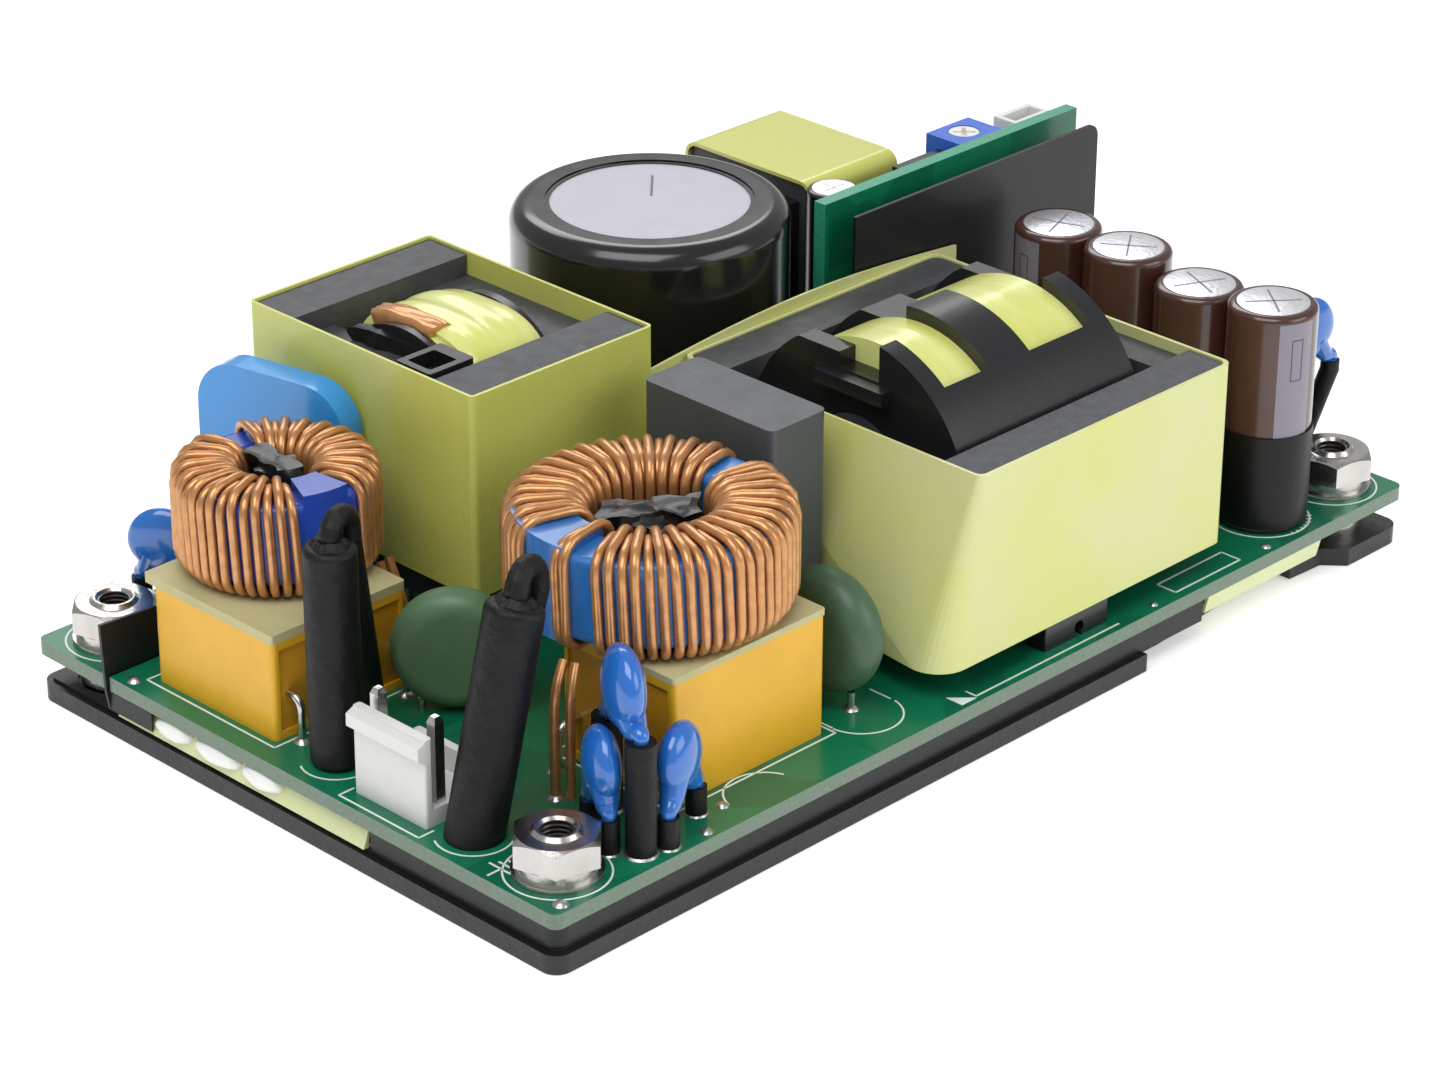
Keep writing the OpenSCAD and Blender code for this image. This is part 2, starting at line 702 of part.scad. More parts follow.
module input_pins() {
  color("#cfd0d1") for (i = [0, 1]) translate([pin_x, pin_y0 + i * inlet_pitch, board_z]) {
    linear_extrude(10.2) square(inlet_pin, center = true);
    translate([0, 0, 10.2]) rotate([0, 0, 45])
      cylinder(r1 = inlet_pin / sqrt(2), r2 = inlet_pin * 0.4, h = 0.6, $fn = 4);
  }
}

// ---- disc parts ----

disc_top = [-48.2, -31.3, 21.7];
disc_mid = [-50.7, -30.9, 14.6];
disc_low = [-44.5, -34.9, 14.4];
disc_left = [-51.4, 32.1, 15.4];
disc_right = [58.5, -27.4, 23.2];
feet_top = [[-50.1, -35.5, 18.4], [-46.4, -27.2, 16.6]];
feet_mid = [[-52, -33.2, 10.2], [-49.6, -28.2, 9.2]];
feet_low = [[-47.4, -36.4, 9.8], [-41.2, -33.8, 9.6]];
feet_left = [[-52.5, 34.6, 11], [-49.8, 30.4, 11]];
feet_right = [[54.6, -26.6, 18.2], [62.2, -28.1, 18.8]];
varistor_at = [-43.2, -2.6, board_z + varistor_r + 0.3];
varistor_turn = -45;
thermistor_at = [-16, -27, 14.3];
dipped_at = [-38.7, 28.3, 0];
dipped_turn = -77.8;

module disc_capacitors_front() {
  color("#2f74c8") {
    disc_capacitor(disc_top, disc_hi_r, disc_t + 0.4, 61, feet_top);
    disc_capacitor(disc_mid, disc_lo_r, disc_t, 61, feet_mid);
    disc_capacitor(disc_low, disc_lo_r - 0.2, disc_t, 22, feet_low);
  }
}

module disc_capacitor_left() {
  color("#2f74c8") disc_capacitor(disc_left, disc_lo_r, disc_t - 0.8, -52, feet_left);
}

module disc_capacitor_right() {
  color("#2f74c8") disc_capacitor(disc_right, disc_lo_r, disc_t - 0.8, -12, feet_right);
}

module capacitor_sleeves() {
  color("#222224") {
    for (f = feet_top) rod([f[0], f[1], board_z], f, sleeve_tube_r);
    for (f = concat(feet_mid, feet_low)) rod([f[0], f[1], board_z], f, sleeve_tube_r * 0.7);
    for (f = feet_left) rod([f[0], f[1], board_z], f, sleeve_tube_r * 0.7);
    rod([feet_right[0][0], feet_right[0][1], board_z], feet_right[0], sleeve_tube_r * 0.7);
    wire([[60.4, -25.8, board_z], [60.4, -25.8, board_z + 1.2], feet_right[1] - [0, 0, 1.1], feet_right[1]],
      sleeve_tube_r * 0.7);
  }
}

module surge_absorber() {
  color("#6f9a78") translate(varistor_at) rotate([0, 0, varistor_turn]) coated_disc(varistor_r, varistor_t);
}

module inrush_limiter() {
  color("#5f8f72") translate(thermistor_at) rotate([0, 0, 90]) coated_disc(thermistor_r, thermistor_t);
}

module dipped_capacitor() {
  color("#3f9be0") translate([dipped_at[0], dipped_at[1], board_z + 1.4]) rotate([0, 0, dipped_turn])
    rotate([90, 0, 0]) translate([-dipped_l / 2, 0, -dipped_t / 2]) linear_extrude(dipped_t)
      round_square(dipped_l, dipped_h, 5);
}

// ---- boost choke ----

boost_open = boost_coil_r + 0.3;
boost_back = 5.6;

module boost_core() {
  color("#46484b") difference() {
    union() {
      for (y = [boost[1] + tape_t, boost[1] + boost_w - tape_t - boost_leg])
        block([boost[0] + tape_t, y, boost_z0], [boost_l - 2 * tape_t, boost_leg, boost_h - 0.3], 0.4);
      for (x = [boost[0] + tape_t, boost[0] + boost_l - tape_t - boost_back])
        translate([x, boost[1] + boost_leg, boost_z0 + 2.2])
          cube([boost_back, boost_w - 2 * boost_leg, boost_h - 4.8]);
    }
    translate([boost[0] + tape_t + boost_back, boost_y, boost_z]) rotate([0, 90, 0])
      cylinder(r = boost_open, h = boost_l - 2 * (tape_t + boost_back));
  }
  color("#46484b") translate([boost[0] + tape_t + boost_back - eps, boost_y, boost_z])
    rotate([0, 90, 0]) cylinder(r = 5.8, h = boost_l - 2 * (tape_t + boost_back) + 2 * eps);
}

boost_in0 = boost[0] + tape_t + boost_back;
boost_in1 = boost[0] + boost_l - tape_t - boost_back;

module boost_bobbin() {
  color("#1f1f21") difference() {
    union() {
      for (x = [boost_in0 + 0.1, boost_in1 - 1.1]) intersection() {
        translate([x, boost_y, boost_z]) rotate([0, 90, 0]) cylinder(r = boost_open, h = 1);
        translate([x, boost_y - 10.4, boost_z0 - 4]) cube([1, 20.8, far]);
      }
      translate([boost_in0 + 0.1, boost_y, boost_z]) rotate([0, 90, 0])
        cylinder(r = 7, h = boost_in1 - boost_in0 - 0.2);
      for (x = [boost[0] + 1, boost_in1 - 1.1])
        translate([x, boost_y - 12, boost_z0 - 3.2]) cube([boost_back, 24, 3]);
      for (x = [boost_in0 + 0.1, boost_in1 - 1.1])
        translate([x, boost_y - 5, boost_z0 - 1]) cube([1, 10, 2]);
      block([boost[0] + 0.6, boost[1] + boost_leg + 0.8, boost_z0 + boost_h - 2.5], [6, 5, 2.6], 0.3);
    }
    translate([boost_in0, boost_y, boost_z]) rotate([0, 90, 0])
      cylinder(r = 5.9, h = boost_in1 - boost_in0);
    block([boost[0] + 1.4, boost[1] + boost_leg + 1.6, boost_z0 + boost_h - 1.6], [3.6, 3.4, 4], 0.3);
  }
}

module boost_coil() {
  color("#cdd07e") difference() {
    translate([boost_in0 + 1.1, boost_y, boost_z]) rotate([0, 90, 0])
      cylinder(r = boost_coil_r, h = boost_in1 - boost_in0 - 2.2);
    translate([boost_in0, boost_y, boost_z]) rotate([0, 90, 0]) cylinder(r = 7, h = far);
  }
}

module boost_tape() {
  color("#c5c460") difference() {
    block([boost[0], boost[1], boost_z0], [boost_l, boost_w, boost_h], 0.7);
    block([boost[0] + tape_t, boost[1] + tape_t, boost_z0 - 1],
      [boost_l - 2 * tape_t, boost_w - 2 * tape_t, boost_h + 2], 0.35);
  }
}

module boost_pins() {
  color("#c9cacb") for (x = [boost[0] + 3, boost[0] + boost_l - 3], y = [-9, -3, 3, 9])
    translate([x, boost_y + y, board_z]) cylinder(r = 0.5, h = boost_lift - 3.2);
}

// ---- bulk capacitor ----

bulk_dish = 0.9;

module bulk_capacitor() {
  color("#232425") translate([bulk[0], bulk[1], board_z]) difference() {
    can(bulk_r, bulk_h, 2.2);
    translate([0, 0, bulk_h - bulk_dish]) cylinder(r = bulk_disc_r, h = 2);
  }
}

module bulk_capacitor_disc() {
  color("#c9c7d2") translate([bulk[0], bulk[1], board_z + bulk_h - bulk_dish])
    cylinder(r = bulk_disc_r, h = bulk_dish - 0.3);
}

// ---- main transformer ----

main_in0 = main_xb;
main_in1 = main_xb + main_bobbin_l;
main_post_r = 6.2;
flange_t = 2.4;
bridge_x0 = main_xb + 9.2;
bridge_x1 = main_xb + 15.1;

module main_core() {
  color("#46484b") {
    intersection() {
      union() {
        for (y = [main_y0, main_y0 + main_w - main_leg])
          translate([main_x0, y, main_z0]) cube([main_l, main_leg, main_h - 0.2]);
        translate([main_x0, main_y0 + 1, main_z0]) cube([main_in0 - main_x0 - 0.1, main_w - 2, main_h - 3.4]);
        translate([main_in1 + 2.6, main_y0 + 1, main_z0])
          cube([main_x0 + main_l - main_in1 - 2.6, main_w - 2, main_h - 1.2]);
      }
      block([main_x0, main_y0, main_z0], [main_l, main_w, main_h], 1.2);
    }
    translate([main_in0 - 0.2, main_yc, main_zc]) rotate([0, 90, 0])
      cylinder(r = main_post_r, h = main_bobbin_l + 2.9);
  }
}

// cylinder along X on the coil's axis
module on_axis(x, r, l) {
  translate([x, main_yc, main_zc]) rotate([0, 90, 0]) cylinder(r = r, h = l);
}

hood_t = 1;

module main_bobbin() {
  color("#2c2d30") difference() {
    union() {
      on_axis(main_in0, main_flange_r, main_bobbin_l);
      translate([main_in1 - 0.1, main_yc - 12.6, main_zc - 12]) cube([2.5, 25.2, 17]);
      for (x = [main_in0, main_in1 - flange_t])
        translate([x, main_yc - 14, board_z + 1]) cube([flange_t + 1.2, 28, 4.2]);
      translate([main_in0 - 1.6, main_yc - 4.6, main_z1 + 1.3]) cube([2.4, 9.2, 1.5]);
    }
    difference() {
      on_axis(main_in0 + flange_t, main_flange_r - hood_t, main_bobbin_l - 2 * flange_t);
      on_axis(main_in0, main_post_r + 1.2, main_bobbin_l);
      translate([bridge_x0, main_yc - 12, main_zc]) cube([bridge_x1 - bridge_x0, 24, far]);
    }
    on_axis(main_in0 - 5, main_post_r + 0.1, far);
    for (w = [[main_in0 + flange_t, bridge_x0], [bridge_x1, main_in1 - flange_t]])
      translate([w[0], main_yc - 9.4, main_zc]) cube([w[1] - w[0], far, far]);
    translate([main_in0 + flange_t, main_yc - 9.4, main_zc - 20])
      cube([main_bobbin_l - 2 * flange_t, far, 20]);
    translate([main_in0 + flange_t, main_yc - far, main_zc - far])
      cube([main_bobbin_l - 2 * flange_t, 2 * far, far + 4.6]);
    translate([main_in0 - 1, main_yc - 2.8, main_z1 + 3]) cube([flange_t + 1.2, 5.4, far]);
    translate([main_in1 - flange_t - 0.2, main_yc - 2.8, main_z1 + 3]) cube([flange_t + 1.2, 5.4, far]);
    translate([main_in0 - 1, main_yc + 2, main_zc + 12.4]) cube([far, far, far]);
  }
}

module main_coils() {
  color("#e3e3a6") {
    difference() {
      on_axis(main_in0 + flange_t, main_coil_a_r, bridge_x0 - main_in0 - flange_t);
      on_axis(main_in0 - 5, main_post_r + 1.2, far);
    }
    difference() {
      on_axis(bridge_x1, main_coil_b_r, main_in1 - flange_t - bridge_x1);
      on_axis(main_in0 - 5, main_post_r + 1.2, far);
    }
  }
}

module tape_outline(t, grow) {
  x1 = main_x0 + main_l + t;
  y0 = main_y0 - t;
  y1 = main_y0 + main_w + t;
  hull() {
    for (c = [[main_x0 - t - main_lean, y0, 3.6], [main_x0 - t - main_lean_back, y1, 1]])
      translate([c[0] + c[2], c[1] + (c[1] < main_yc ? c[2] : -c[2]), main_z0 - grow])
        cylinder(r = c[2], h = eps, $fn = 32);
    for (c = [[main_x0 - t, y0, 0.8], [main_x0 - t, y1, 1]])
      translate([c[0] + c[2], c[1] + (c[1] < main_yc ? c[2] : -c[2]), main_z1 + grow - eps])
        cylinder(r = c[2], h = eps, $fn = 32);
    for (y = [y0 + 1, y1 - 1], z = [main_z0 - grow, main_z1 + grow - eps])
      translate([x1 - 1, y, z]) cylinder(r = 1, h = eps, $fn = 32);
  }
}

module main_tape() {
  color("#dfe0a0") difference() {
    tape_outline(tape_t + 0.05, 0);
    tape_outline(0.02, 0.2);
  }
}

flap_y = main_y0 + main_w + tape_t + 0.1;
flap_l0 = -9.6;
flap_l1 = 37;

module main_flap() {
  color("#dfe0a0") translate([0, flap_y + 0.3, 0]) rotate([90, 0, 0]) linear_extrude(0.3)
    polygon(concat([[flap_l0, board_z], [flap_l1, board_z]],
      [for (i = [12:-1:0]) [flap_l0 + (flap_l1 - flap_l0) * i / 12, 30 + 1.5 * sin(i * 15)]]));
}

module main_pins() {
  color("#c9cacb") for (x = [main_in0 + 1.2, main_in1 - 0.6], y = [-12, -7, 7, 12])
    translate([x, main_yc + y, board_z]) cylinder(r = 0.5, h = 1);
}

module transformer_support() {
  color("#4a4c50") difference() {
    block([6.4, main_y0 + 0.2, board_z], [9.7, 2.6, main_lift], 0.2);
    translate([11.6, main_y0 - 1, board_z + 1]) rotate([-90, 0, 0]) cylinder(r = 0.7, h = 5);
    translate([11.25, main_y0 - 1, board_z - 1]) cube([0.7, 5, 2]);
  }
}

// ---- auxiliary transformer ----

aux_z0 = board_z + 4;
aux_z1 = board_z + aux_h;

module aux_core() {
  color("#46484b") translate([aux[0] + 1.2, 0, 0]) rotate([90, 0, 90]) linear_extrude(aux_l - 2.4)
    translate([aux[1] + 0.43, aux_z0]) round_square(aux_w - 0.86, aux_z1 - aux_z0 - 0.43, 1.3);
}

module aux_bobbin() {
  color("#1f1f21") {
    translate([aux[0] - 0.4, aux[1] + 1, board_z + 1]) cube([aux_l + 0.8, aux_w - 2, 3]);
    for (x = [aux[0] - 0.4, aux[0] + aux_l - 1.1])
      block([x, aux[1] + 2, board_z + 3.9], [1.5, aux_w - 4, aux_z1 - board_z - 6.5], 0.3);
  }
  color("#1f1f21") for (x = [aux[0] + 0.6, aux[0] + aux_l - 1.6], y = [3, aux_w - 4])
    translate([x, aux[1] + y, board_z]) cube([1, 1, 1.01]);
}

module aux_tape() {
  color("#d3d46e") translate([aux[0] + 0.6, 0, 0]) rotate([90, 0, 90]) linear_extrude(aux_l - 1.2)
    difference() {
      translate([aux[1], aux_z0]) round_square(aux_w, aux_z1 - aux_z0, 1.6);
      translate([aux[1] + 0.4, aux_z0 - 3]) round_square(aux_w - 0.8, aux_z1 - aux_z0 + 2.6, 1.2);
    }
}

module small_capacitor() {
  color("#26282a") translate([small[0], small[1], small_z - small_h]) can(small_r, small_h, 0.5);
}

// ---- daughter board ----

module daughter_board() {
  color("#1c7a55") translate([daughter[0], daughter[1], board_z]) cube([daughter_l, daughter_t, daughter_h]);
}

module black_sheet() {
  color("#2d2e30") translate([sheet[0], sheet[1] + sheet_t, board_z]) rotate([90, 0, 0])
    linear_extrude(sheet_t) {
      square([sheet_l, sheet_h - 1.5]);
      square([sheet_l - 1.5, sheet_h]);
      translate([sheet_l - 1.5, sheet_h - 1.5]) circle(1.5);
    }
}

module trimmer_body() {
  color("#2f63c0") difference() {
    translate([trimmer_x, daughter[1] + daughter_t, trimmer_z0]) cube([trimmer_l, trimmer_w, trimmer_h]);
    translate([rotor_x, rotor_y, trimmer_z1 - rotor_h]) cylinder(r = rotor_r + rotor_gap, h = 5);
  }
}

module trimmer_rotor() {
  color("#ece9df") difference() {
    translate([rotor_x, rotor_y, trimmer_z1 - rotor_h]) cylinder(r = rotor_r, h = rotor_h - 0.1);
    for (a = [45, 135]) translate([rotor_x, rotor_y, trimmer_z1 - 0.7]) rotate([0, 0, a])
      translate([-rotor_r * 0.75, -0.25, 0]) cube([rotor_r * 1.5, 0.5, 2]);
  }
}

module signal_connector() {
  color("#e9e7e0") difference() {
    translate([53.3, daughter[1] + daughter_t, board_z + daughter_h - 6.4]) cube([5.8, 3.4, 6.3]);
    translate([53.9, daughter[1] + daughter_t + 0.7, board_z + daughter_h - 4.4]) cube([4.6, 2, far]);
  }
}

module optocoupler() {
  color("#232425") translate([36, daughter[1] + daughter_t, board_z + daughter_h - 7.4])
    cube([7.4, 2.8, 6.3]);
}

// ---- output side ----

module output_capacitors() {
  color("#5a3a34") for (i = [0:3])
    translate([output_x, output_y - i * output_pitch, board_z]) can(output_r, output_h - output_drop[i], 0.7);
}

module capacitor_jacket() {
  color("#232425") translate([output_x, output_y - 3 * output_pitch, board_z + 0.7]) difference() {
    cylinder(r = min(output_r + 0.3, output_pitch - output_r - 0.03), h = jacket_h - 0.7);
    translate([0, 0, -1]) cylinder(r = output_r + 0.03, h = far);
  }
}

module output_terminals() {
  color("#c9c4b4") for (y = terminal_y) difference() {
    union() {
      block([terminal_x, y, board_z], [8, terminal_w, 1.6], 0.4);
      block([terminal_x + 0.4, y + 0.3, board_z + 1.5], [7.2, terminal_w - 0.6, 5.1], 0.8);
    }
    translate([terminal_x + 4, y + terminal_w / 2, board_z + 1]) cylinder(r = terminal_screw_r, h = far);
  }
}

module terminal_screws() {
  color("#c3c5c6") for (y = terminal_y) translate([terminal_x + 4, y + terminal_w / 2, board_z + 1]) {
    cylinder(r = terminal_screw_r, h = 5.7);
    translate([0, 0, 5.6]) difference() {
      can(2.9, 2.2, 0.5);
      for (a = [0, 90]) rotate([0, 0, a]) translate([-2.2, -0.4, 1.2]) cube([4.4, 0.8, 3]);
    }
  }
}

// ---- which node ----

base_plate();
mounting_studs();
hex_nuts();
spring_washers();
flat_washers();
circuit_board();
insulation_sheet();
pale_film();
sealant_beads();
barrier_film();
film_capacitor_left();
film_capacitor_right();
toroid_pads();
choke_core_left();
choke_core_right();
choke_winding_left();
choke_winding_right();
choke_dividers();
tinned_leads();
fuse_left();
fuse_front();
lead_sleeves();
input_connector();
input_pins();
disc_capacitors_front();
disc_capacitor_left();
disc_capacitor_right();
capacitor_sleeves();
surge_absorber();
inrush_limiter();
dipped_capacitor();
boost_core();
boost_bobbin();
boost_coil();
boost_tape();
boost_pins();
bulk_capacitor();
bulk_capacitor_disc();
film_capacitor_grey();
main_core();
main_bobbin();
main_coils();
main_tape();
main_flap();
main_pins();
transformer_support();
aux_core();
aux_bobbin();
aux_tape();
small_capacitor();
daughter_board();
black_sheet();
trimmer_body();
trimmer_rotor();
signal_connector();
optocoupler();
output_capacitors();
capacitor_jacket();
output_terminals();
terminal_screws();
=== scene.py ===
import bpy
import bmesh
import json
import math
from mathutils import Matrix, Vector, noise


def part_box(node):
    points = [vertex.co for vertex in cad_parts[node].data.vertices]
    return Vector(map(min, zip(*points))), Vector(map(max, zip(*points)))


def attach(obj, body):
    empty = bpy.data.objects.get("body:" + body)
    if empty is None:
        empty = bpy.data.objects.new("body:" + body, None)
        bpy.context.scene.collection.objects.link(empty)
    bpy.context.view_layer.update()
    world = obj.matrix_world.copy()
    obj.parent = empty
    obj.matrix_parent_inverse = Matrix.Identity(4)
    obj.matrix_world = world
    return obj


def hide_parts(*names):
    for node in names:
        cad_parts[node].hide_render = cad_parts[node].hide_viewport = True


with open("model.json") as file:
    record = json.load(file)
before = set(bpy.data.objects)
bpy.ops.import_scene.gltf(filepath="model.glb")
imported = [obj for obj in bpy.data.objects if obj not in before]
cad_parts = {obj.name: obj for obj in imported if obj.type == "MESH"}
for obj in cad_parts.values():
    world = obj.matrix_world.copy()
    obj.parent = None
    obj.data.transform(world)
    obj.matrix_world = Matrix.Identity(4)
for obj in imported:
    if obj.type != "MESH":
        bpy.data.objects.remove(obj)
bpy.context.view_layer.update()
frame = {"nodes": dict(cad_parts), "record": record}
NODES = frame["nodes"]
MM = 0.001
POLE_MERGE = 1e-4

# noise_vector starts from the clock unless it is given a seed, so the leaves get one here
LEAF_SEED = 1795445488
noise.seed_set(LEAF_SEED)

RING_LEFT, RING_RIGHT = 4.2, 5.6
WIRE_LEFT, WIRE_RIGHT = 0.96, 1.02
STEPS_A_TURN = 36
LAYER_CHANGE = 0.72
WASHER_R = 4.4
FOOT_R = 0.72
FUSE_FRONT = (-58.8, -22.2)
FUSE_FRONT_LEAN, FUSE_FRONT_TURN, FUSE_FRONT_L = 12.6, -9, 23.4
STUD_THREADS, THREAD_PITCH = 9, 0.5


# ---------------------------------------------------------------- shapes

def box_of(node):
    """The corners of a node's box in millimetres."""
    lo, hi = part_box(node)
    return Vector(lo) / MM, Vector(hi) / MM


def face_outwards(bm):
    """Points the faces away from the inside, also on a thin bent shell."""
    bmesh.ops.recalc_face_normals(bm, faces=bm.faces[:])
    if bm.calc_volume(signed=True) < 0:
        bmesh.ops.reverse_faces(bm, faces=bm.faces[:])


def finish_piece(name, bm, mat, body="unit", sharp=35.0):
    """Turns a bmesh in millimetres into a piece of the object."""
    face_outwards(bm)
    bmesh.ops.scale(bm, vec=(MM, MM, MM), verts=bm.verts[:])
    mesh = bpy.data.meshes.new(name)
    bm.to_mesh(mesh)
    bm.free()
    for poly in mesh.polygons:
        poly.use_smooth = True
    mesh.set_sharp_from_angle(angle=math.radians(sharp))
    mesh.materials.append(mat)
    obj = bpy.data.objects.new(name, mesh)
    bpy.context.scene.collection.objects.link(obj)
    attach(obj, body)
    return obj


def tube(bm, pts, radius, sides=8):
    """A closed round tube along points; its rings turn as little as they can."""
    pts = [Vector(p) for p in pts]
    radii = radius if isinstance(radius, (list, tuple)) else [radius] * len(pts)
    rings = []
    tangent = (pts[1] - pts[0]).normalized()
    side = tangent.orthogonal().normalized()
    for i, p in enumerate(pts):
        a = pts[max(i - 1, 0)]
        b = pts[min(i + 1, len(pts) - 1)]
        t = (b - a).normalized()
        side = (side - t * side.dot(t)).normalized()
        up = t.cross(side)
        ring = []
        for k in range(sides):
            w = 2 * math.pi * k / sides
            spoke = side * math.cos(w) + up * math.sin(w)
            ring.append(bm.verts.new(p + spoke * radii[i]))
        rings.append(ring)
    for r0, r1 in zip(rings, rings[1:]):
        for k in range(sides):
            j = (k + 1) % sides
            bm.faces.new((r0[k], r0[j], r1[j], r1[k]))
    bm.faces.new(rings[0][::-1])
    bm.faces.new(rings[-1])


def smooth_path(pts, per=6):
    """A Catmull-Rom curve through the points."""
    pts = [Vector(p) for p in pts]
    ext = [pts[0] * 2 - pts[1]] + pts + [pts[-1] * 2 - pts[-2]]
    out = []
    for i in range(1, len(ext) - 2):
        p0, p1, p2, p3 = ext[i - 1:i + 3]
        for k in range(per):
            t = k / per
            out.append(0.5 * (2 * p1 + (p2 - p0) * t
                              + (2 * p0 - 5 * p1 + 4 * p2 - p3) * t * t
                              + (3 * p1 - p0 - 3 * p2 + p3) * t ** 3))
    out.append(pts[-1])
    return out


def slab(bm, outline, z0, z1):
    """A flat prism over an outline of (x, y) points."""
    foot = bm.faces.new([bm.verts.new((x, y, z0)) for x, y in outline])
    made = bmesh.ops.extrude_face_region(bm, geom=[foot], use_keep_orig=True)["geom"]
    raised = [g for g in made if isinstance(g, bmesh.types.BMVert)]
    bmesh.ops.translate(bm, vec=(0, 0, z1 - z0), verts=raised)


def cuboid(bm, lo, hi, bevel=0.0, segments=2):
    """A box between two corners, with rounded edges if bevel is given."""
    made = bmesh.ops.create_cube(bm, size=1.0)["verts"]
    lo, hi = Vector(lo), Vector(hi)
    for v in made:
        v.co = Vector((lo[i] + (v.co[i] + 0.5) * (hi[i] - lo[i]) for i in range(3)))
    if bevel:
        edges = {e for v in made for e in v.link_edges}
        bmesh.ops.bevel(bm, geom=list(edges), offset=bevel, offset_type="OFFSET",
                        segments=segments, profile=0.5, affect="EDGES", material=-1)


def spin_about_z(bm, verts, edges, cx, cy, angle, steps, whole):
    """Turns a profile about an upright axis at (cx, cy), and gives what lies at its end."""
    spun = bmesh.ops.spin(bm, geom=verts + edges, cent=(cx, cy, 0), axis=(0, 0, 1),
                          dvec=(0, 0, 0), angle=angle, steps=steps, use_merge=whole,
                          use_duplicate=False)
    return spun["geom_last"]


def lathe(bm, profile, centre, steps=48):
    """A closed solid from a profile of (r, z) points whose ends lie on the axis."""
    cx, cy, cz = centre
    before = set(bm.verts)
    verts = [bm.verts.new((cx + r, cy, cz + z)) for r, z in profile]
    edges = [bm.edges.new(pair) for pair in zip(verts, verts[1:])]
    spin_about_z(bm, verts, edges, cx, cy, 2 * math.pi, steps, True)
    made = [v for v in bm.verts if v not in before]
    bmesh.ops.remove_doubles(bm, verts=made, dist=POLE_MERGE)


def ring_band(bm, cx, cy, z0, z1, r0, r1, a0=0.0, a1=360.0, steps=48):
    """A flat ring or a part of one."""
    whole = abs(a1 - a0) >= 359.9
    n = max(4, int(steps * abs(a1 - a0) / 360))
    c, s = math.cos(math.radians(a0)), math.sin(math.radians(a0))
    verts = [bm.verts.new((cx + r * c, cy + r * s, z))
             for r, z in ((r0, z0), (r1, z0), (r1, z1), (r0, z1))]
    edges = [bm.edges.new((verts[k - 1], verts[k])) for k in range(4)]
    last = spin_about_z(bm, verts, edges, cx, cy, math.radians(a1 - a0), n, whole)
    if not whole:
        bm.faces.new(verts)
        rim = [g for g in last if isinstance(g, bmesh.types.BMEdge)]
        bmesh.ops.contextual_create(bm, geom=rim)


# ------------------------------------------------------------- materials

def linear(h):
    """A hex colour as linear RGBA."""
    out = []
    for i in (1, 3, 5):
        c = int(h[i:i + 2], 16) / 255
        out.append(c / 12.92 if c <= 0.04045 else ((c + 0.055) / 1.055) ** 2.4)
    return (*out, 1.0)


def material(name, colour, rough=0.4, metal=0.0, coat=0.0, bump=0.0, grain=900.0,
             mottle=0.0, second=None, patch=300.0, spec=0.5, sheer=0.0, streak=None):
    """A principled surface with procedural colour and relief in object coordinates (metres)."""
    m = bpy.data.materials.new(name)
    m.use_nodes = True
    nt = m.node_tree
    bsdf = nt.nodes["Principled BSDF"]
    bsdf.inputs["Roughness"].default_value = rough
    bsdf.inputs["Metallic"].default_value = metal
    bsdf.inputs["Coat Weight"].default_value = coat
    bsdf.inputs["Coat Roughness"].default_value = 0.12
    bsdf.inputs["Specular IOR Level"].default_value = spec
    bsdf.inputs["Base Color"].default_value = linear(colour)
    if sheer:
        bsdf.inputs["Subsurface Weight"].default_value = sheer
        bsdf.inputs["Subsurface Radius"].default_value = (0.002, 0.002, 0.001)
        bsdf.inputs["Subsurface Scale"].default_value = 0.5
    co = nt.nodes.new("ShaderNodeTexCoord")
    src = co.outputs["Object"]
    if streak:
        mp = nt.nodes.new("ShaderNodeMapping")
        mp.inputs["Scale"].default_value = streak
        nt.links.new(src, mp.inputs["Vector"])
        src = mp.outputs["Vector"]
    if mottle or second:
        n = nt.nodes.new("ShaderNodeTexNoise")
        n.inputs["Scale"].default_value = patch
        n.inputs["Detail"].default_value = 4.0
        nt.links.new(src, n.inputs["Vector"])
        ramp = nt.nodes.new("ShaderNodeValToRGB")
        ramp.color_ramp.elements[0].position = 0.38
        ramp.color_ramp.elements[1].position = 0.66
        base = linear(colour)
        other = linear(second) if second else tuple([c * (1 - mottle) for c in base[:3]] + [1.0])
        ramp.color_ramp.elements[0].color = base
        ramp.color_ramp.elements[1].color = other
        nt.links.new(n.outputs["Fac"], ramp.inputs["Fac"])
        nt.links.new(ramp.outputs["Color"], bsdf.inputs["Base Color"])
        rr = nt.nodes.new("ShaderNodeMapRange")
        rr.inputs["To Min"].default_value = max(0.02, rough - 0.08)
        rr.inputs["To Max"].default_value = min(1.0, rough + 0.1)
        nt.links.new(n.outputs["Fac"], rr.inputs["Value"])
        nt.links.new(rr.outputs["Result"], bsdf.inputs["Roughness"])
    if bump:
        n2 = nt.nodes.new("ShaderNodeTexNoise")
        n2.inputs["Scale"].default_value = grain
        n2.inputs["Detail"].default_value = 3.0
        nt.links.new(src, n2.inputs["Vector"])
        b = nt.nodes.new("ShaderNodeBump")
        b.inputs["Strength"].default_value = bump
        b.inputs["Distance"].default_value = 0.0003
        nt.links.new(n2.outputs["Fac"], b.inputs["Height"])
        nt.links.new(b.outputs["Normal"], bsdf.inputs["Normal"])
    return m


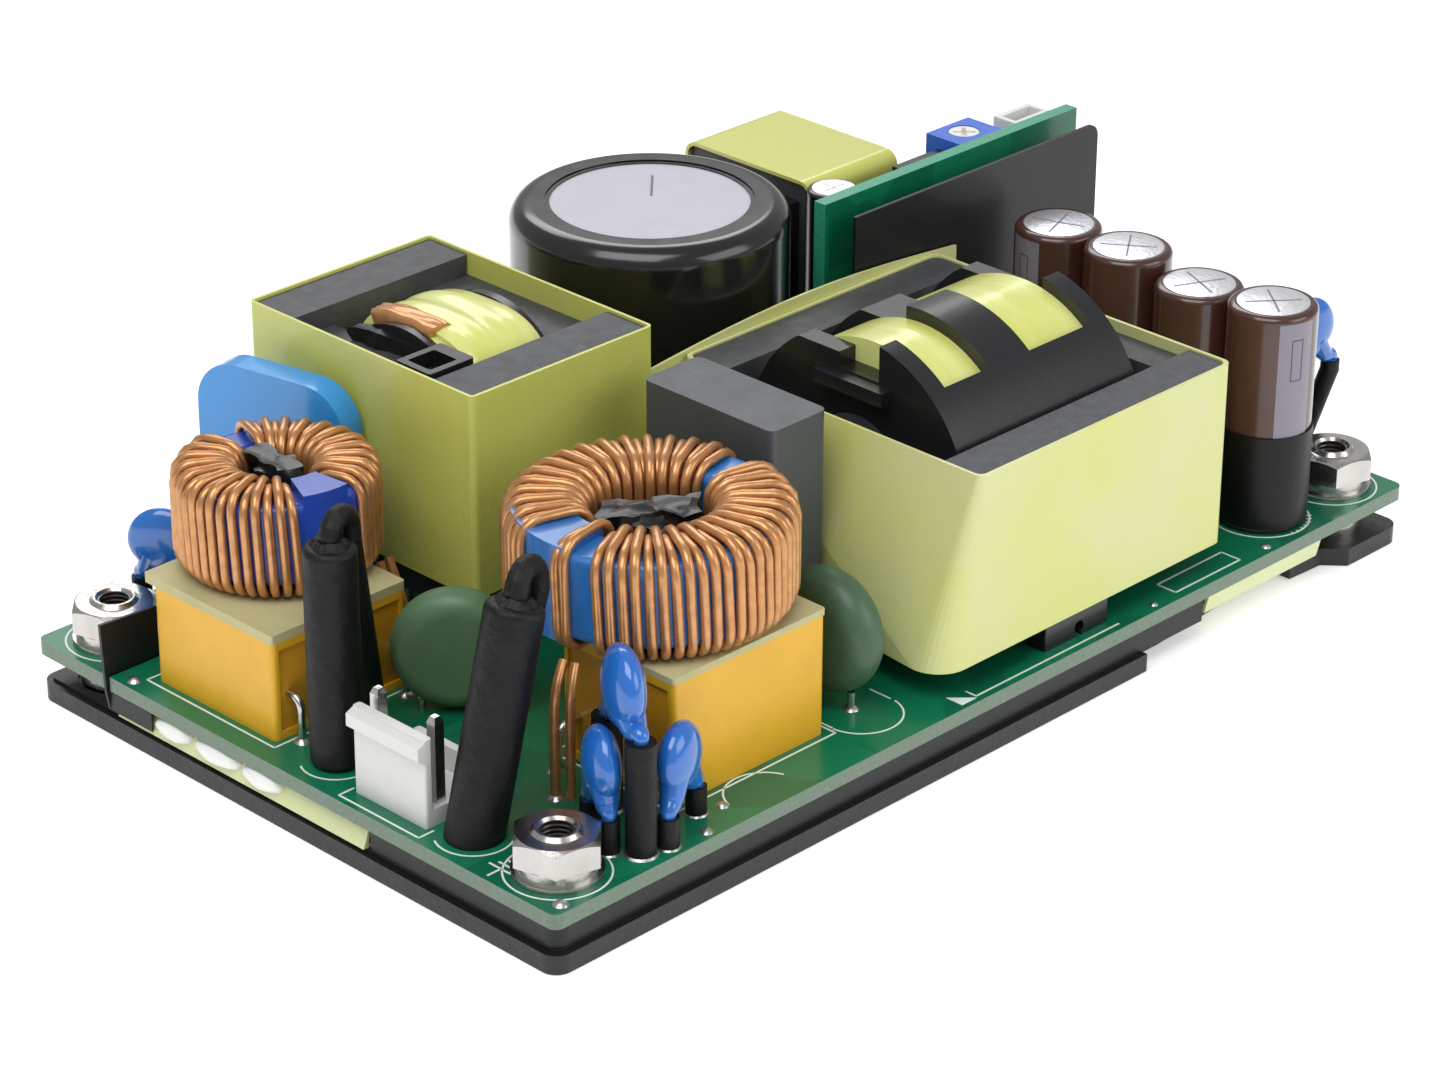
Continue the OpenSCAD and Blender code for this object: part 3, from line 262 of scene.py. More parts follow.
def board_material(name, face, trace, edge):
    """Solder mask with faint conductor areas; the cut edges show the grey laminate."""
    m = material(name, face, rough=0.32, coat=0.25, spec=0.45)
    nt = m.node_tree
    bsdf = nt.nodes["Principled BSDF"]
    co = nt.nodes.new("ShaderNodeTexCoord")
    vor = nt.nodes.new("ShaderNodeTexVoronoi")
    vor.distance = "CHEBYCHEV"
    vor.inputs["Scale"].default_value = 105.0
    nt.links.new(co.outputs["Object"], vor.inputs["Vector"])
    bw = nt.nodes.new("ShaderNodeRGBToBW")
    nt.links.new(vor.outputs["Color"], bw.inputs["Color"])
    ramp = nt.nodes.new("ShaderNodeValToRGB")
    ramp.color_ramp.interpolation = "CONSTANT"
    ramp.color_ramp.elements[0].color = linear(face)
    ramp.color_ramp.elements[1].position = 0.52
    ramp.color_ramp.elements[1].color = linear(trace)
    nt.links.new(bw.outputs["Val"], ramp.inputs["Fac"])
    geo = nt.nodes.new("ShaderNodeNewGeometry")
    sep = nt.nodes.new("ShaderNodeSeparateXYZ")
    nt.links.new(geo.outputs["True Normal"], sep.inputs["Vector"])
    absz = nt.nodes.new("ShaderNodeMath")
    absz.operation = "ABSOLUTE"
    nt.links.new(sep.outputs["Z" if name == "mask" else "Y"], absz.inputs[0])
    step = nt.nodes.new("ShaderNodeMath")
    step.operation = "LESS_THAN"
    step.inputs[1].default_value = 0.5
    nt.links.new(absz.outputs["Value"], step.inputs[0])
    fleck = nt.nodes.new("ShaderNodeTexNoise")
    fleck.inputs["Scale"].default_value = 2500.0
    nt.links.new(co.outputs["Object"], fleck.inputs["Vector"])
    er = nt.nodes.new("ShaderNodeValToRGB")
    er.color_ramp.elements[0].color = linear(edge)
    er.color_ramp.elements[1].color = tuple([c * 0.55 for c in linear(edge)[:3]] + [1.0])
    nt.links.new(fleck.outputs["Fac"], er.inputs["Fac"])
    mix = nt.nodes.new("ShaderNodeMix")
    mix.data_type = "RGBA"
    nt.links.new(step.outputs["Value"], mix.inputs[0])
    nt.links.new(ramp.outputs["Color"], mix.inputs[6])
    nt.links.new(er.outputs["Color"], mix.inputs[7])
    nt.links.new(mix.outputs[2], bsdf.inputs["Base Color"])
    return m


# one finish for each material slot of the record: base colour and look
FINISHES = {
    "plate_paint": ("#18181a", dict(rough=0.4, bump=0.25, grain=1800, mottle=0.15, patch=500)),
    "plated_steel": ("#c9c6c2", dict(rough=0.22, metal=1.0, bump=0.1, grain=1500, mottle=0.12)),
    "tinned": ("#c6c6c4", dict(rough=0.25, metal=1.0, bump=0.15, grain=1200)),
    "terminal_plate": ("#cfc9b8", dict(rough=0.3, metal=1.0, mottle=0.1)),
    "black_film": ("#17181a", dict(rough=0.42, spec=0.35, bump=0.12, grain=500, coat=0.1)),
    "pale_film": ("#d3d9a2", dict(rough=0.25, coat=0.3, sheer=0.15, bump=0.2, grain=200)),
    "sealant": ("#eef0ec", dict(rough=0.35, sheer=0.3, bump=0.3, grain=400)),
    "yellow_case": ("#e2ac1c", dict(rough=0.36, coat=0.12, bump=0.06, grain=1600, mottle=0.05)),
    "grey_case": ("#474b4f", dict(rough=0.42, bump=0.12, grain=2200, mottle=0.06)),
    "pad": ("#bfb88a", dict(rough=0.6, mottle=0.12, bump=0.2, patch=200, sheer=0.1)),
    "blue_core": ("#2449ae", dict(rough=0.3, coat=0.3, mottle=0.1)),
    "light_core": ("#2c74c0", dict(rough=0.3, coat=0.3, mottle=0.15)),
    "black_leaf": ("#111113", dict(rough=0.38, coat=0.15, bump=0.5, grain=500)),
    "shrink_sleeve": ("#111112", dict(rough=0.5, spec=0.28, bump=0.75, grain=650, mottle=0.2,
        patch=500)),
    "white_plastic": ("#dcdcda", dict(rough=0.4, sheer=0.15, mottle=0.03)),
    "blue_coating": ("#2267bd", dict(rough=0.16, coat=0.7, bump=0.15, grain=350)),
    "green_coating": ("#5a7b58", dict(rough=0.42, bump=0.3, grain=500, mottle=0.12)),
    "light_blue_coating": ("#2f93de", dict(rough=0.22, coat=0.5, bump=0.15, grain=250)),
    "ferrite": ("#434549", dict(rough=0.5, bump=0.2, grain=2200, mottle=0.15, patch=700)),
    "black_plastic": ("#18191c", dict(rough=0.3, bump=0.05, grain=1200, coat=0.15)),
    "olive_tape": ("#c9cd66", dict(rough=0.28, coat=0.3, mottle=0.06, patch=90, bump=0.1,
        grain=130)),
    "pale_tape": ("#cbce92", dict(rough=0.34, coat=0.15, second="#cacf78", patch=70, bump=0.12,
        grain=120)),
    "coil_tape": ("#dbe08c", dict(rough=0.26, coat=0.4, second="#cdd36a", patch=220, bump=0.7,
        grain=260, streak=(1.0, 0.25, 0.25))),
    "can_black": ("#131314", dict(rough=0.2, coat=0.35, mottle=0.1)),
    "end_disc": ("#b6b5bf", dict(rough=0.35, mottle=0.04)),
    "can_brown": ("#4a2c26", dict(rough=0.2, coat=0.4, mottle=0.15, patch=200)),
    "trimmer_blue": ("#2a62cb", dict(rough=0.32, mottle=0.05)),
    "trimmer_white": ("#e4e2da", dict(rough=0.35, mottle=0.08)),
}
MAT = {slot: material(slot, colour, **look) for slot, (colour, look) in FINISHES.items()}
MAT["board_green"] = board_material("mask", "#0f7350", "#0b6647", "#6f8672")
upright_board = board_material("upright_mask", "#0f7a54", "#0b6b49", "#39a884")
copper = material("copper_wire", "#cf9560", rough=0.33, metal=0.62, coat=0.25, mottle=0.2,
                  patch=900)
dark_green = material("limiter_coating", "#405e46", rough=0.4, bump=0.3, grain=500, mottle=0.12)
jacket = material("jacket_sleeve", "#0f0f10", rough=0.38, spec=0.28, bump=0.15, grain=500)
silver = material("vent_silver", "#e6e6ec", rough=0.3, metal=0.75, bump=0.15, grain=1500)
# the vent grooves of the can tops are drawn as thin raised bars in a darker grey metal: painted
# shade of the stamped grooves
groove = material("vent_groove_shade", "#7d7d84", rough=0.4, metal=0.5)
silk = material("board_print", "#e3ebe4", rough=0.6)
solder = material("solder", "#b9bab8", rough=0.28, metal=0.9, bump=0.2, grain=1500)
resin = material("case_resin", "#c8901f", rough=0.38, bump=0.3, grain=350, mottle=0.12)
stripe = material("can_stripe", "#7d7784", rough=0.24, coat=0.4)
stripe_ink = material("can_stripe_ink", "#4d4653", rough=0.3)
# bore_thread: the thread rings inside the stud bores are a darker steel than the studs: painted
# shade inside the bores
bore_painted_shade = material("bore_thread", "#6e6c69", rough=0.35, metal=1.0)

MAT["copper"] = copper

# nodes whose finish differs from that of their slot
NODE_FINISH = {
    "daughter_board": upright_board,
    "boost_coil": MAT["coil_tape"],
    "main_coils": MAT["coil_tape"],
    "inrush_limiter": dark_green,
    "capacitor_jacket": jacket,
}
for part in frame["record"]["subparts"]:
    chosen = NODE_FINISH.get(part["node"], MAT[part["material_slot"]])
    for s in NODES[part["node"]].material_slots:
        s.material = chosen


# --------------------------------------------------------------- windings

def section_point(t, r0, r1, z0, z1, bend):
    """Point (r, z) at share t round a rounded rectangle, from the foot of the inner wall."""
    w, h = r1 - r0 - 2 * bend, z1 - z0 - 2 * bend
    q = math.pi * bend / 2
    legs = [h, q, w, q, h, q, w, q]
    s = (t % 1.0) * sum(legs)
    k = 0
    while s > legs[k] and k < 7:
        s -= legs[k]
        k += 1
    a = s / q * math.pi / 2
    b = bend
    if k == 0:
        return r0, z0 + b + s
    if k == 1:
        return r0 + b - b * math.cos(a), z1 - b + b * math.sin(a)
    if k == 2:
        return r0 + b + s, z1
    if k == 3:
        return r1 - b + b * math.sin(a), z1 - b + b * math.cos(a)
    if k == 4:
        return r1, z1 - b - s
    if k == 5:
        return r1 - b + b * math.cos(a), z0 + b - b * math.sin(a)
    if k == 6:
        return r1 - b - s, z0
    return r0 + b - b * math.sin(a), z0 + b - b * math.cos(a)


def wind(name, core_node, node, z_span, ring_w, runs, wire, bend, leads):
    """Winds a ring core: one long wire for each run of (start angle, end angle, turns)."""
    lo, hi = box_of(core_node)
    cx, cy = (lo.x + hi.x) / 2, (lo.y + hi.y) / 2
    outer = (hi.x - lo.x) / 2 + wire * 0.92
    z_low, z_high = z_span
    for w, (a0, a1, turns) in enumerate(runs):
        pts = []
        for i in range(turns * STEPS_A_TURN + 1):
            turn = i / STEPS_A_TURN
            k = int(min(turn, turns - 1e-6))
            share = turn - k
            # turns lie by pairs in an outer and an inner layer, and change it under the ring
            layer = 1.0 if k % 2 else 0.0
            change = max(0.0, (share - LAYER_CHANGE) / (1.0 - LAYER_CHANGE))
            mixed = layer + (1.0 - 2.0 * layer) * change
            r0 = outer - wire / 2 - ring_w - wire * 1.02 - mixed * wire * 0.95
            top = z_high - wire / 2 - (0.0 if layer else wire * 0.42)
            low = z_low + wire / 2
            r, z = section_point(share, r0, outer - wire / 2, low, top, bend)
            slip = share - 0.5
            wob = noise.noise(Vector((k * 3.7 + w * 9.1, share * 2.0, cx * 0.1))) * 0.5
            a = math.radians(a0 + (a1 - a0) * (turn / turns) + wob + 0.6 * slip)
            r += 0.10 * noise.noise(Vector((k * 5.3, share * 3.0, w * 4.0 + cy)))
            r = min(r, outer - wire / 2)
            pts.append((cx + r * math.cos(a), cy + r * math.sin(a), z))
        bm = bmesh.new()
        tube(bm, pts, wire / 2, 8)
        obj = finish_piece("%s_wire_%d" % (name, w), bm, copper, sharp=80)
        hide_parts(node)
    bm = bmesh.new()
    for path in leads:
        tube(bm, smooth_path(path, 6), wire / 2, 10)
    obj = finish_piece(name + "_wire_ends", bm, copper, sharp=80)
    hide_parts(node)


a_top = box_of("choke_winding_left")[1].z
b_top = box_of("choke_winding_right")[1].z
ca_lo, ca_hi = box_of("choke_core_left")
cb_lo, cb_hi = box_of("choke_core_right")
fa_lo, fa_hi = box_of("film_capacitor_left")
fb_lo, fb_hi = box_of("film_capacitor_right")
top_z = box_of("circuit_board")[1].z
za = fa_hi.z + 1.0
zb = fb_hi.z + 0.7


def lead(bends, foot):
    """A wire end that leaves the ring at the first bend and drops to the board at foot."""
    return [*bends, (*foot, top_z)]


wind("choke_left", "choke_core_left", "choke_winding_left", (za, a_top), RING_LEFT,
     [(-77, 75, 22), (95, 243, 21)], WIRE_LEFT, 1.9,
     [lead([(-42.2, 9.4, za - 0.2), (-42.2, 8.0, za - 3.5), (-42.2, 7.4, za - 6)], (-42.2, 7.4)),
      lead([(-40.9, 9.6, za - 0.2), (-40.9, 8.0, za - 3.5), (-40.8, 7.4, za - 6)], (-40.8, 7.4))])
wind("choke_right", "choke_core_right", "choke_winding_right", (zb, b_top), RING_RIGHT,
     [(-176.5, -168.5, 2), (-159, -6, 29), (8, 166, 30)], WIRE_RIGHT, 2.2,
     [lead([(-46.4, -21.4, zb - 0.2), (-48.3, -22.3, zb - 2.5), (-48.6, -22.4, zb - 6)],
           (-48.6, -22.4)),
      lead([(-46.0, -22.6, zb - 0.2), (-47.4, -23.4, zb - 2.5), (-47.5, -23.4, zb - 6)],
           (-47.5, -23.4)),
      lead([(-19.3, -16.4, zb - 0.2), (-19.7, -15.4, zb - 3), (-19.9, -14.4, zb - 6)],
           (-19.9, -14.4))])


def core_cover(name, lo, hi, z_span, ring_w, a_mid, half, slot):
    """The coated core where it shows in a gap of its winding."""
    bm = bmesh.new()
    r1 = (hi.x - lo.x) / 2 + 0.05
    ring_band(bm, (lo.x + hi.x) / 2, (lo.y + hi.y) / 2, *z_span, r1 - ring_w - 0.1, r1,
              a_mid - half, a_mid + half, 60)
    finish_piece(name, bm, MAT[slot])


core_cover("choke_left_core_cover", ca_lo, ca_hi, (za + 0.7, a_top - 0.5), RING_LEFT,
           -99, 15, "blue_core")
core_cover("choke_right_core_cover", cb_lo, cb_hi, (zb + 1.0, b_top - 1.0), RING_RIGHT,
           166, 24, "light_core")


def crumpled(name, lo, hi, turn, mat, depth, seed, cuts=7):
    """A folded leaf of film: a box whose surface is pushed in and out."""
    bm = bmesh.new()
    bmesh.ops.create_cube(bm, size=1.0)
    bmesh.ops.subdivide_edges(bm, edges=bm.edges[:], cuts=cuts, use_grid_fill=True)
    mid = (Vector(lo) + Vector(hi)) / 2
    size = Vector(hi) - Vector(lo)
    rot = Matrix.Rotation(math.radians(turn), 3, "Z")
    for v in bm.verts:
        p = Vector(v.co[i] * size[i] for i in range(3))
        d = noise.noise_vector(p * 0.55 + Vector((seed, seed * 2.0, 0))) * depth
        p = p + Vector((d.x, d.y, d.z * 0.6))
        v.co = rot @ p + mid
    return finish_piece(name, bm, mat, sharp=22)


def leaf_pair(name, lo, hi, top, leaves):
    """Crossed leaves of black film that keep the windings of a ring apart."""
    cx, cy = (lo.x + hi.x) / 2, (lo.y + hi.y) / 2
    for end, x0, x1, y, low, down, turn, depth, seed, cuts in leaves:
        obj = crumpled(name + end, (cx + x0, cy - y, top - low), (cx + x1, cy + y, top - down),
                       turn, MAT["black_leaf"], depth, seed, cuts)
        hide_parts("choke_dividers")


leaf_pair("choke_left_leaf", ca_lo, ca_hi, a_top,
          [("", -3.0, 3.0, 1.3, 6, 0.6, -99, 0.8, 2.0, 7),
           ("_b", -1.6, 1.4, 2.4, 6, 1.2, -60, 0.7, 7.0, 7)])
leaf_pair("choke_right_leaf", cb_lo, cb_hi, b_top,
          [("", -4.8, 4.8, 1.9, 7, 1.9, 140, 1.0, 4.0, 9),
           ("_b", -2.4, 2.4, 3.4, 7, 2.8, 120, 0.9, 9.0, 9)])


# ------------------------------------------------------- output capacitors

out_lo, out_hi = box_of("output_capacitors")
can_r = (out_hi.x - out_lo.x) / 2
can_x = (out_lo.x + out_hi.x) / 2
pitch = (out_hi.y - out_lo.y - 2 * can_r) / 3
drops = [0.2, 0.0, 1.3, 0.4]
bm_top = bmesh.new()
bm_vent = bmesh.new()
for i in range(4):
    y = out_hi.y - can_r - i * pitch
    z = out_hi.z - drops[i]
    lathe(bm_top, [(0, -0.1), (can_r - 0.95, -0.1), (can_r - 0.95, 0.0), (can_r - 1.15, 0.04),
                   (0, 0.04)], (can_x, y, z))
    turn = (20, 35, 65, 50)[i]
    # darker bars along the vent lines of each top: painted shade in the grooves
    for a in (turn, turn + 90, turn + 180, turn + 270):
        c, s = math.cos(math.radians(a)), math.sin(math.radians(a))
        q = [(0.1 * -s, 0.1 * c), (3.0 * c + 0.1 * -s, 3.0 * s + 0.1 * c),
             (3.0 * c + 0.1 * s, 3.0 * s - 0.1 * c), (0.1 * s, -0.1 * c)]
        slab(bm_vent, [(can_x + u, y + v) for u, v in q], z - 0.03, z + 0.07)
finish_piece("output_vent_tops", bm_top, silver)
finish_piece("output_vent_grooves", bm_vent, groove)


def curved_patch(bm, cx, cy, r0, r1, a0, a1, z0, z1, steps=16):
    """A patch of a can's wall, cut into a given number of steps."""
    ring_band(bm, cx, cy, z0, z1, r0, r1, a0, a1, int(360 / abs(a1 - a0) * steps))


bm = bmesh.new()
jacket_top = box_of("capacitor_jacket")[1].z
stripe_feet = ((-190, top_z + 1), (60, top_z + 1), (40, top_z + 1), (-108, jacket_top))
for i, (a, low) in enumerate(stripe_feet):
    y = out_hi.y - can_r - i * pitch
    curved_patch(bm, can_x, y, can_r - 0.1, can_r + 0.015, a - 25, a + 25, low,
                 out_hi.z - drops[i] - 0.75)
finish_piece("output_stripes", bm, stripe)
bm = bmesh.new()
for i, a in ((3, -108), (0, -190)):
    y = out_hi.y - can_r - i * pitch
    z1 = out_hi.z - drops[i] - 2.6
    for da in (-8, 7):
        curved_patch(bm, can_x, y, can_r - 0.05, can_r + 0.03, a + da, a + da + 1.6,
                     z1 - 4.6, z1, 3)
    for zz in (z1 - 4.7, z1 - 0.1):
        curved_patch(bm, can_x, y, can_r - 0.05, can_r + 0.03, a - 7.5, a + 8,
                     zz, zz + 0.14, 6)
finish_piece("output_stripe_marks", bm, stripe_ink)

# ------------------------------------------------------- other can tops

disc_lo, disc_hi = box_of("bulk_capacitor_disc")
dx, dy = (disc_lo.x + disc_hi.x) / 2, (disc_lo.y + disc_hi.y) / 2
bm = bmesh.new()
# a darker line across the bulk capacitor top: painted shade of its vent groove
tube(bm, [(dx + 1.2, dy + 1.0, disc_hi.z), (dx + 5.2, dy + 4.9, disc_hi.z)], 0.13, 8)
finish_piece("bulk_vent_line", bm, groove)
bm = bmesh.new()
ring_band(bm, dx, dy, disc_hi.z - 0.05, disc_hi.z + 0.16, 10.7, 11.15, steps=96)
finish_piece("bulk_disc_rim", bm, MAT["can_black"])
sm_lo, sm_hi = box_of("small_capacitor")
sx, sy, sr = (sm_lo.x + sm_hi.x) / 2, (sm_lo.y + sm_hi.y) / 2, (sm_hi.x - sm_lo.x) / 2
bm = bmesh.new()
lathe(bm, [(0, -0.1), (sr - 0.6, -0.1), (sr - 0.6, 0.03), (0, 0.03)], (sx, sy, sm_hi.z))
finish_piece("small_capacitor_top", bm, silver)
bm = bmesh.new()
# a darker cross on the small capacitor top: painted shade of its vent grooves
for a in (0, 90):
    c, s = math.cos(math.radians(a)), math.sin(math.radians(a))
    tube(bm, [(sx - 1.6 * c, sy - 1.6 * s, sm_hi.z - 0.02),
              (sx + 1.6 * c, sy + 1.6 * s, sm_hi.z - 0.02)], 0.07, 6)
finish_piece("small_capacitor_vent", bm, groove)

# --------------------------------------------------------- film capacitors

bm = bmesh.new()
cuboid(bm, (fa_lo.x + 0.8, fa_lo.y + 0.3, fa_lo.z + 0.8),
       (fa_hi.x - 0.8, fa_lo.y + 0.52, fa_hi.z - 0.8), 0.08)
cuboid(bm, (fb_lo.x + 0.3, fb_lo.y + 0.8, fb_lo.z + 0.8),
       (fb_lo.x + 0.52, fb_hi.y - 0.8, fb_hi.z - 0.8), 0.08)
finish_piece("film_capacitor_resin", bm, resin)

# ------------------------------------------------------------ board print

bm = bmesh.new()
PZ0, PZ1 = top_z - 0.01, top_z + 0.03


def line(x0, y0, x1, y1, w=0.22):
    """A printed line on the board."""
    d = Vector((x1 - x0, y1 - y0)).normalized()
    n = Vector((-d.y, d.x)) * w / 2
    slab(bm, [(x0 + n.x, y0 + n.y), (x0 - n.x, y0 - n.y),
              (x1 - n.x, y1 - n.y), (x1 + n.x, y1 + n.y)], PZ0, PZ1)


def outline(x0, y0, x1, y1):
    """A printed rectangle."""
    line(x0, y0, x1, y0)
    line(x1, y0, x1, y1)
    line(x1, y1, x0, y1)
    line(x0, y1, x0, y0)


wash_lo, wash_hi = box_of("flat_washers")
stud_x = (wash_hi.x - wash_lo.x) / 2 - WASHER_R
stud_y = (wash_hi.y - wash_lo.y) / 2 - WASHER_R
for x in (-stud_x, stud_x):
    for y in (-stud_y, stud_y):
        ring_band(bm, x, y, PZ0, PZ1, 5.0, 5.2, steps=72)
outline(fa_lo.x - 0.8, fa_lo.y - 0.7, fa_hi.x + 0.8, fa_hi.y + 0.8)
outline(fb_lo.x - 0.7, fb_lo.y - 0.8, fb_hi.x + 0.8, fb_hi.y + 0.8)
fl_lo, fl_hi = box_of("fuse_left")
fuse_left = ((fl_lo.x + fl_hi.x) / 2, (fl_lo.y + fl_hi.y) / 2)
ring_band(bm, *fuse_left, PZ0, PZ1, 3.5, 3.7, 150, 330, steps=60)
ring_band(bm, *FUSE_FRONT, PZ0, PZ1, 3.7, 3.9, 150, 330, steps=60)
ring_band(bm, -62.2, 9.0, PZ0, PZ1, 4.6, 4.8, -60, 55, steps=60)
ring_band(bm, -34.0, -36.0, PZ0, PZ1, 4.0, 4.2, 20, 165, steps=60)
ring_band(bm, -16.0, -31.4, PZ0, PZ1, 4.2, 4.4, 185, 350, steps=60)
line(-20.2, -31.6, -20.2, -28.8)
line(-11.8, -31.6, -11.8, -28.8)
in_lo, in_hi = box_of("input_connector")
line(in_lo.x - 0.7, in_lo.y - 0.6, in_lo.x - 0.7, in_hi.y + 0.6)
line(in_lo.x - 0.7, in_hi.y + 0.6, in_lo.x + 1.2, in_hi.y + 0.6)
line(in_lo.x - 0.7, in_lo.y - 0.6, in_lo.x + 1.2, in_lo.y - 0.6)
# protective-earth sign near the front stud
for k, w in enumerate((3.2, 2.2, 1.2)):
    line(-61.2 + k * 0.75, -30.0 - w / 2 + 1.6, -61.2 + k * 0.75, -30.0 + w / 2 + 1.6, 0.24)
line(-62.9, -28.4, -61.2, -28.4, 0.24)
mt_lo = box_of("main_tape")[0]
line(mt_lo.x + 4.8, -37.2, 16.5, -37.2)
line(mt_lo.x + 4.8, -37.2, mt_lo.x + 4.8, -35.8)
outline(26.0, -36.9, 36.6, -34.4)
slab(bm, [(-7.8, -37.5), (-5.6, -37.5), (-7.8, -35.3)], PZ0, PZ1)
y3 = out_hi.y - can_r - 3 * pitch
ring_band(bm, can_x, y3, PZ0, PZ1, can_r + 0.45, can_r + 0.65, steps=72)
for k in range(7):
    a = math.radians(-100 + k * 9)
    c, s = math.cos(a), math.sin(a)
    line(can_x + (can_r + 0.2) * c, y3 + (can_r + 0.2) * s,
         can_x + (can_r + 0.6) * c + 0.25, y3 + (can_r + 0.6) * s, 0.14)
finish_piece("board_print", bm, silk)

# ---------------------------------------------------------------- solder

bm = bmesh.new()
dots = [(-58.4, 2.8, 0.9), (-45.0, 2.8, 0.9), (-45.1, -18.6, 0.9), (-45.1, -29.0, 0.9),
        (-48.6, -22.4, 0.9), (-16.0, -30.2, 0.9), (-16.0, -23.8, 0.8), (-19.9, -14.4, 0.8),
        (-42.2, 7.4, 0.8), (-40.8, 7.4, 0.7), (-49.2, 2.8, 1.3), (-54.6, -19.3, 1.35),
        (-50.1, -35.5, 1.7), (-46.4, -27.2, 1.7), (-52.0, -33.2, 1.2), (-41.2, -33.8, 1.2),
        (-47.4, -36.4, 1.2), (-62.2, 24.0, 0.8), (-43.0, -37.0, 0.7), (-38.5, -34.6, 0.7),
        (22.3, -37.0, 0.5), (-61.6, -36.8, 0.8), (41.0, -36.9, 0.6), (60.3, -24.6, 0.8)]
for x, y, r in dots:
    lathe(bm, [(0, 0.0), (r, 0.0), (r * 0.86, r * 0.16), (r * 0.55, r * 0.42), (0, r * 0.62)],
          (x, y, top_z - 0.01), 20)
for x in (0.5, 25.8):
    for y in (-28.2, -23.2, -9.2, -4.2):
        lathe(bm, [(0, 0.0), (0.95, 0.0), (0.8, 0.2), (0.55, 0.5), (0, 0.62)],
              (x, y, top_z - 0.01), 20)
finish_piece("solder_joints", bm, solder)

# ------------------------------------------------- sleeves of the two fuses


def shrink_top(name, centre, axis, r, seed):
    """The gathered end of a shrunk sleeve."""
    bm = bmesh.new()
    steps, levels = 40, 9
    axis = Vector(axis).normalized()
    side = axis.orthogonal().normalized()
    up = axis.cross(side)
    rings = []
    for j in range(levels + 1):
        t = j / levels
        rr = r * (1.0 - 0.52 * t ** 2.2)
        h = -2.6 + 3.3 * t
        ring = []
        for k in range(steps):
            w = 2 * math.pi * k / steps
            fold = (1.0 + 0.10 * t * math.sin(5 * w + seed)
                    + 0.05 * t * math.sin(9 * w + 2 * seed))
            q = rr * fold + (0.03 if j else -0.1)
            spoke = side * math.cos(w) + up * math.sin(w)
            ring.append(bm.verts.new(Vector(centre) + axis * h + spoke * q))
        rings.append(ring)
    for r0, r1 in zip(rings, rings[1:]):
        for k in range(steps):
            n = (k + 1) % steps
            bm.faces.new((r0[k], r0[n], r1[n], r1[k]))
    bm.faces.new(rings[0][::-1])
    tip = bm.verts.new(Vector(centre) + axis * 0.35)
    for k in range(steps):
        bm.faces.new((rings[-1][k], rings[-1][(k + 1) % steps], tip))
    return finish_piece(name, bm, MAT["shrink_sleeve"], sharp=60)


shrink_top("fuse_left_fold", (*fuse_left, fl_hi.z), (0, 0, 1), 2.65, 1.0)
lean, turn = math.radians(FUSE_FRONT_LEAN), math.radians(FUSE_FRONT_TURN)
b_axis = Vector((math.sin(lean) * math.cos(turn), math.sin(lean) * math.sin(turn),
                 math.cos(lean)))
b_top_end = Vector((*FUSE_FRONT, top_z)) + b_axis * FUSE_FRONT_L
shrink_top("fuse_front_fold", b_top_end, b_axis, 2.9, 2.4)

# --------------------------------------------------------- boost choke window

bt_lo = box_of("boost_tape")[0]
co_lo, co_hi = box_of("boost_coil")
cy0, cz0 = (co_lo.y + co_hi.y) / 2, (co_lo.z + co_hi.z) / 2
cr = (co_hi.y - co_lo.y) / 2


def coil_radius(a, extra):
    """Radius at angle a of a coil section that is a rounded square."""
    c, q = abs(math.cos(a)) / 10.3, abs(math.sin(a)) / (cr - 0.15)
    return (c ** 3 + q ** 3) ** (-1 / 3) + extra


def coil_patch(name, x0, x1, a0, a1, lift, mat, seed, ripple):
    """A patch of tape or wire that lies on the coil, which runs along X."""
    bm = bmesh.new()
    bmesh.ops.create_grid(bm, x_segments=24, y_segments=40, size=0.5)
    under = list(bm.verts)
    raised = bmesh.ops.extrude_face_region(bm, geom=list(bm.faces), use_keep_orig=True)["geom"]
    raised = {e for e in raised if isinstance(e, bmesh.types.BMVert)}
    for vert in under + list(raised):
        u, v = vert.co.x + 0.5, vert.co.y + 0.5
        a = math.radians(a0 + (a1 - a0) * v)
        x = x0 + (x1 - x0) * u + 0.2 * noise.noise(Vector((v * 4, seed, u)))
        r = coil_radius(a, -1.6)
        if vert in raised:
            crown = 0.5 * (1 - (2 * u - 1) ** 4) - 0.5
            fold = ripple * noise.noise(Vector((u * 5 + seed, v * 3, 1.0)))
            r = coil_radius(a, lift + crown + fold)
        vert.co = (x, cy0 + r * math.cos(a), cz0 + r * math.sin(a))
    return finish_piece(name, bm, mat, sharp=60)


coil_patch("boost_coil_layer", co_lo.x + 1.0, co_hi.x - 0.1, 8, 172, 0.7,
           MAT["coil_tape"], 3.0, 0.4)
coil_patch("boost_coil_copper", co_lo.x + 0.1, co_lo.x + 3.0, 60, 104, 1.15,
           copper, 8.0, 0.2)
crumpled("boost_end_film", (bt_lo.x + 5.2, cy0 - 5.6, cz0 + 6.2),
         (bt_lo.x + 6.5, cy0 + 6.4, cz0 + 10.2), 6, MAT["black_leaf"], 0.7, 5.0, 9)

# ------------------------------------------------- silicone under the board

bm = bmesh.new()
for y, length in ((3.6, 2.9), (10.4, 3.4), (17.0, 2.6)):
    made = bmesh.ops.create_uvsphere(bm, u_segments=20, v_segments=12, radius=1.0)["verts"]
    for v in made:
        wob = 1.0 + 0.12 * noise.noise(v.co * 1.7 + Vector((y, 0, 0)))
        v.co = Vector((-62.75 + 1.25 * v.co.x * wob, y + length * v.co.y * wob,
                       3.9 + 1.08 * v.co.z))
beads = finish_piece("silicone_beads", bm, MAT["sealant"], sharp=80)
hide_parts("sealant_beads")

# ------------------------------------------------------ blue disc capacitors


